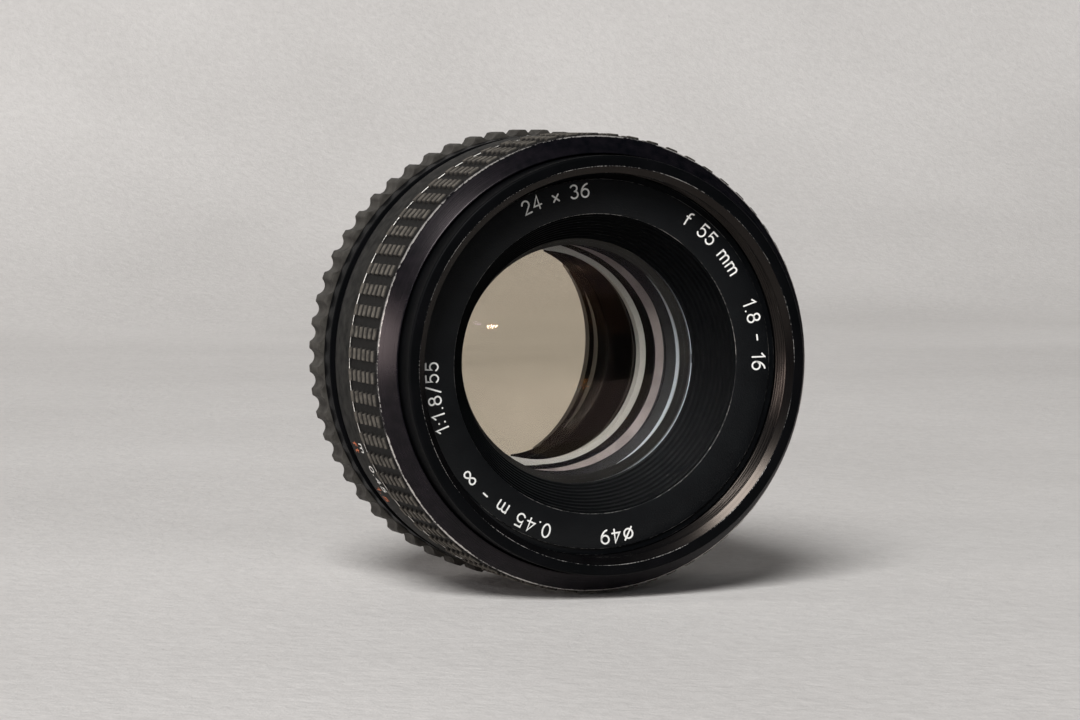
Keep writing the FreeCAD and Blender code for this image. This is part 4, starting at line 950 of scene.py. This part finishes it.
rim_rear, rim_front, rim_r = span("front_rim")
filter_start = rim_front - LIP_DEPTH
rim_rows = [(FILTER_MINOR_R, filter_start - (filter_start - RELIEF_Z) * i / FILTER_THREAD_ROWS)
            for i in range(FILTER_THREAD_ROWS + 1)]
rim = turned("filter_rim", [
    (RIM_BACK_R, rim_rear), (rim_r, rim_rear), (rim_r, rim_front, 0.32, 0.5),
    (FILTER_MINOR_R + LIP_WIDTH, rim_front, 0.07), *rim_rows, (RELIEF_R, RELIEF_Z),
    (RELIEF_R, BAFFLE_SEAT_Z), (RIM_BACK_R, BAFFLE_SEAT_Z),
], anodised, segments=360, cut=threaded(
    FILTER_MINOR_R, FILTER_PITCH, FILTER_DEPTH, (RELIEF_Z + 0.1, filter_start - 0.02), FILTER_RUNOUT))
refinish(rim, glossy_black,
         lambda r, z: r < BURNISHED_R and RELIEF_Z < z < rim_front - BURNISHED_MARGIN)
fit(rim, "sliding_body", "black_enamel", "front_rim")


# Focus ring: turned aluminium, anodised black, with a bare scale band behind the rubber and a chamfered
# nose in front. The band has gone grey with handling, and the corners beside the rubber are rubbed bright.
GRIP_SEAT_R = 27.9
SCALE_BAND_R = 28.8
SCALE_BAND_FRONT = 21.0
GRIP_FRONT = 32.3
FOCUS_EDGE_R = 28.75
FOCUS_EDGE_Z = 32.6
NOSE_R = 26.55
NOSE_LIP = 0.15
COLLAR_FACE_R = 24.6
COLLAR_REAR_Z = 30.45
COLLAR_FRONT_Z = 31.75
FOCAL_LENGTH = 55.0
FOCUS_TRAVEL = 9.2
FOCUS_TURN = 240.0
DISTANCE_NUMBER = (1.35, 0.19)
METRE_ROW = 4.4
FEET_ROW = 1.9
UNIT_GAP = 9
FOOT = 0.3048
METRES = ("0.45", "0.5", "0.6", "0.7", "0.8", "1", "1.2", "1.5", "2", "3", "5", "10")
FEET = ("1.5", "2", "2.5", "3", "4", "5", "7", "10", "15", "30")


def distance_angle(metres):
    """Angle of a distance mark: the barrel moves out by the thin-lens law, and the ring in proportion."""
    far = metres * 1000
    image = (far - math.sqrt(far ** 2 - 4 * FOCAL_LENGTH * far)) / 2
    return 90 - FOCUS_TURN * min((image - FOCAL_LENGTH) / FOCUS_TRAVEL, 1)


def distance_row(labels, metres_each, unit, z):
    """Numbers of one distance scale round the band, with the unit past its closest one."""
    marks = [(label, distance_angle(float(label) * metres_each)) for label in labels]
    marks.append((unit, distance_angle(float(METRES[0])) - UNIT_GAP))
    return [(label, *DISTANCE_NUMBER, on_band(SCALE_BAND_R, angle, z)) for label, angle in marks]


focus_rear, focus_front, _ = span("focus_ring")

# Anodised aluminium, worn grey: the handled oxide is porous and dull, with turning marks and soft patches.
worn_band, tree, shader = new_finish("worn_anodised_aluminium", {
    "IOR": 1.5, "Specular IOR Level": 0.015})
turning_marks(tree, shader, 0.16, 0.003, 0.5, 0.07)
worn(tree, shader, blotched(tree, "1b1b1a", "302f2d", 1.3), "d9d6d0", 0.16, 0.35)

# Dyed anodised aluminium on the nose: black, a little purple where the dye has faded, bright on corners.
faded_nose, tree, shader = new_finish("faded_anodised_aluminium", {
    "IOR": 1.5, "Specular IOR Level": 0.22, "Specular Tint": colour("f2e4e7")})
turning_marks(tree, shader, 0.12, 0.003, 0.26, 0.06)
worn(tree, shader, blotched(tree, "050609", "110f13", 1.5), "c4c0bb", 0.15, 0.35)
focus_ring = turned("focus_ring_body", [
    (RING_BORE_R, focus_rear, 0.1), (SCALE_BAND_R, focus_rear, 0.2, 0.5),
    (SCALE_BAND_R, SCALE_BAND_FRONT, 0.11, 1.15), (GRIP_SEAT_R, SCALE_BAND_FRONT), (GRIP_SEAT_R, GRIP_FRONT),
    (FOCUS_EDGE_R, GRIP_FRONT, 0.05), (FOCUS_EDGE_R, FOCUS_EDGE_Z, 0.34, 0.95),
    (NOSE_R + NOSE_LIP, focus_front, 0.1, 0.3), (NOSE_R, focus_front), (NOSE_R, COLLAR_FRONT_Z),
    (COLLAR_FACE_R, COLLAR_FRONT_Z), (COLLAR_FACE_R, COLLAR_REAR_Z), (RING_BORE_R, COLLAR_REAR_Z),
], worn_band, segments=360)
refinish(focus_ring, faded_nose, lambda r, z: z > GRIP_FRONT + HAIR)
fit(focus_ring, "focus_body", "black_enamel", "focus_ring")

metre_z = focus_rear + METRE_ROW
metre_marks = distance_row(METRES, 1.0, "m", metre_z)
metre_marks.append(("∞", *DISTANCE_NUMBER, on_band(SCALE_BAND_R, 90, metre_z)))
engraved("distance_scale_metres", metre_marks, white, "focus_body")
feet_marks = distance_row(FEET, FOOT, "ft", focus_rear + FEET_ROW)
engraved("distance_scale_feet", feet_marks, orange, "focus_body")


# Focus grip: a moulded rubber sleeve of upright columns, each cut into six bricks, with open channels
# between. The rubber has dulled. Its brick tops are painted paler, partly dust and partly painted light, and
# its channels and grooves are painted dark as shade.
GRIP_COLUMNS = 66
GRIP_BASE_R = 28.6
BRICK_ROWS = 6
BRICK_LENGTH = 1.0
BRICK_GROOVE = 0.4
CHANNEL_WIDTH = 1.2
BRICK_BEVEL = 0.12
UNEVEN_LENGTH = 0.05
UNEVEN_SIDE = 0.04
UNEVEN_SKIN = 0.012
DUST_PER_MM = 1.4

grip_rear, grip_front, grip_r = span("focus_grip")
column_pitch = 360 / GRIP_COLUMNS
channel_half = math.degrees(CHANNEL_WIDTH / 2 / grip_r)
row_pitch = (grip_front - grip_rear) / BRICK_ROWS


def brick(r, z, angle):
    """Radius of the sleeve: brick top, groove between bricks, or channel floor, with rounded shoulders.

    Noise taken at a place of its own for each brick and wall keeps any two from being quite alike.
    """
    if r < GRIP_BASE_R + HAIR:
        return r, 0
    column = math.floor(angle / column_pitch)
    across = (angle % column_pitch) - column_pitch / 2
    inside = (column_pitch / 2 - channel_half - abs(across)) * math.radians(grip_r)
    rows = math.floor((z - grip_rear) / row_pitch)
    from_middle = abs((z - grip_rear) - (rows + 0.5) * row_pitch)
    length = BRICK_LENGTH / 2 + UNEVEN_LENGTH * noise.noise(Vector((column * 3.7, rows * 1.9, 0.5)))
    along = length - from_middle
    sway = UNEVEN_SIDE * noise.noise(Vector((column * 0.9, z * 0.8, 3.1)))
    wall = min(max((inside + sway) / BRICK_BEVEL, 0), 1)
    top = min(max(along / BRICK_BEVEL, 0), 1)
    low_r = GRIP_BASE_R if wall == 0 else grip_r - BRICK_GROOVE * (1 - top)
    rough = UNEVEN_SKIN * noise.noise(Vector((angle * 2.2, z * 4.1, 7.7)))
    height = GRIP_BASE_R + (low_r - GRIP_BASE_R) * math.sin(wall * math.pi / 2)
    # The second value is 1 on brick tops and 0 in grooves and channels: it marks where the tops are painted
    # light and the recesses are left as painted shade.
    return min(height + (rough - UNEVEN_SKIN if wall else 0), grip_r), wall * top ** 4


# Degrees across one column and heights along each brick, closer together at their shoulders.
column_steps = [0, channel_half * 0.9, channel_half * 1.02, channel_half + 0.1, channel_half + 0.24,
                channel_half + 0.5, 2.0, column_pitch / 2]
column_steps += [column_pitch - a for a in reversed(column_steps[1:-1])]
grip_angles = [i * column_pitch + a for i in range(GRIP_COLUMNS) for a in column_steps]
brick_rows = []
for row in range(BRICK_ROWS):
    middle = grip_rear + (row + 0.5) * row_pitch
    shoulder = [BRICK_LENGTH / 2 + step for step in (0.06, -0.02, -0.07, -0.14)]
    brick_rows += [middle - step for step in shoulder]
    brick_rows += [middle - 0.3, middle, middle + 0.3]
    brick_rows += [middle + step for step in reversed(shoulder)]

# Moulded rubber: dull charcoal, left dark in the channels and grooves as painted shade, and paler and
# browner on the brick tops, partly dust and partly painted light. Its pores are drawn coarser than they are,
# so that they show.
rubber, tree, shader = new_finish("moulded_rubber_painted_shade", {
    "Roughness": 0.7, "IOR": 1.5, "Specular IOR Level": 0.1})
# Mask of the brick tops from the sleeve's shape: the tops take the pale dusty colour as painted light, and
# the channels and grooves keep the dark one as painted shade.
painted_light_on_brick_tops = add(tree, "ShaderNodeAttribute", {"attribute_name": "wear_and_shade"}).outputs["Fac"]
here = add(tree, "ShaderNodeTexCoord", {}).outputs["Object"]
dust = add(tree, "ShaderNodeTexNoise", {
    "Vector": here, "Scale": 1000 * DUST_PER_MM, "Detail": 6.0, "Roughness": 0.7}).outputs[0]
dust = add(tree, "ShaderNodeMapRange", {
    "Value": dust, "From Min": 0.36, "From Max": 0.66, "To Min": 0.25}).outputs[0]
amount = add(tree, "ShaderNodeMath", {"operation": "MULTIPLY", 0: dust, 1: painted_light_on_brick_tops}).outputs[0]
skin = add(tree, "ShaderNodeMix", {"data_type": "RGBA", 0: amount, 6: colour("161514"), 7: colour("6c675f")})
tree.links.new(skin.outputs[2], shader.inputs["Base Color"])
grainy(tree, shader, 6, 3.0, 0.7, 0.03)
grip = turned("focus_grip_bricks", [
    (GRIP_SEAT_R, grip_rear + HAIR), (grip_r, grip_rear + HAIR), *[(grip_r, z) for z in brick_rows],
    (grip_r, grip_front - HAIR), (GRIP_SEAT_R, grip_front - HAIR),
], rubber, angles=grip_angles, cut=brick, sharp=50)
fit(grip, "focus_body", "rubber", "focus_grip")


# Floor and backdrop: one length of pale grey felt that lies under the lens and curves up behind it. It is
# not part of the lens.
FLOOR_REACH = 1.6
FLOOR_FRONT = 0.15
BACKDROP_DISTANCE = 0.95
BACKDROP_HEIGHT = 1.2
SWEEP_R = 0.35
SWEEP_STEPS = 16
NAP_PER_MM = 0.42
CLOUDS_PER_MM = 0.009

floor_z = cad_low[2]
sweep_start = BACKDROP_DISTANCE - SWEEP_R
sweep = [(-FLOOR_FRONT, floor_z), (sweep_start, floor_z)]
for i in range(1, SWEEP_STEPS + 1):
    turn = math.radians(90 * i / SWEEP_STEPS)
    sweep.append((sweep_start + SWEEP_R * math.sin(turn), floor_z + SWEEP_R * (1 - math.cos(turn))))
sweep.append((BACKDROP_DISTANCE, floor_z + BACKDROP_HEIGHT))
sweep_verts = [(x, y, z) for y, z in sweep for x in (-FLOOR_REACH, FLOOR_REACH)]
sweep_faces = [(2 * i, 2 * i + 1, 2 * i + 3, 2 * i + 2) for i in range(len(sweep) - 1)]

# Pale grey felt: matt, faintly clouded, with a short nap that is drawn coarser than it is, to show.
felt, tree, shader = new_finish("pale_felt", {"Roughness": 0.9})
nap = grainy(tree, shader, NAP_PER_MM, 5.0, 0.5, 0.6, roughness=0.7)
here = add(tree, "ShaderNodeTexCoord", {}).outputs["Object"]
cloud = add(tree, "ShaderNodeTexNoise", {
    "Vector": here, "Scale": 1000 * CLOUDS_PER_MM, "Detail": 4.0}).outputs[0]
shade = add(tree, "ShaderNodeMath", {"operation": "ADD", 0: cloud, 1: nap}).outputs[0]
shade = add(tree, "ShaderNodeMapRange", {"Value": shade, "From Min": 0.7, "From Max": 1.3}).outputs[0]
pale = add(tree, "ShaderNodeMix", {"data_type": "RGBA", 0: shade, 6: colour("c6c3c0"), 7: colour("d6d3d0")})
tree.links.new(pale.outputs[2], shader.inputs["Base Color"])
backdrop = solid("felt_sweep", [Vector(v) for v in sweep_verts], sweep_faces, felt)


# Light: a broad soft key from the upper left front, a weak warm lamp low on the left, a small one that
# glints in the front glass, and a dim grey room.
def lamp(name, direction, distance, size, watts, tint):
    """Oval lamp that faces the lens from a direction; size is its width and height in metres."""
    light = bpy.data.lights.new(name, "AREA")
    light.shape = "ELLIPSE"
    light.size, light.size_y = size
    light.energy = watts
    light.color = colour(tint)[:3]
    made = bpy.data.objects.new(name, light)
    away = Vector(direction).normalized()
    made.location = away * distance
    made.rotation_euler = away.to_track_quat("Z", "Y").to_euler()
    bpy.context.scene.collection.objects.link(made)


lamp("key_light", (-0.40, -0.66, 0.64), 4.2, (1.8, 1.8), 214, "ffffff")
lamp("side_light", (-0.93, -0.36, 0.10), 1.5, (0.5, 0.5), 6.5, "fff4f2")
lamp("window_light", (-0.311, -0.927, 0.201), 1.0, (0.08, 0.03), 0.7, "f4f8ff")
room = bpy.data.worlds.new("room")
bpy.context.scene.world = room
room.use_nodes = True
room_tree = room.node_tree
room_tree.nodes.clear()
glow = add(room_tree, "ShaderNodeBackground", {0: colour("1e1f21")})
add(room_tree, "ShaderNodeOutputWorld", {"Surface": glow.outputs[0]})

# Camera: half a metre off, a little above the axis and round to the left of the front glass. Ten glass
# faces lie one behind the other, so light has to be followed through many of them.
CAMERA_PLACE = (-0.1742, -0.5045, 0.0298)
CAMERA_DIRECTION = (0.3328, 0.9412, -0.0582)
CAMERA_LENS = 133.33
LIGHT_BOUNCES = 32

eye = bpy.data.cameras.new("camera")
eye.lens = CAMERA_LENS
eye.clip_start = 0.01
eye.clip_end = 20.0
camera = bpy.data.objects.new("camera", eye)
camera.location = CAMERA_PLACE
camera.rotation_euler = Vector(CAMERA_DIRECTION).to_track_quat("-Z", "Y").to_euler()
bpy.context.scene.collection.objects.link(camera)
bpy.context.scene.camera = camera
bpy.context.scene.view_settings.view_transform = "Standard"
bpy.context.scene.cycles.max_bounces = LIGHT_BOUNCES
bpy.context.scene.cycles.transmission_bounces = LIGHT_BOUNCES
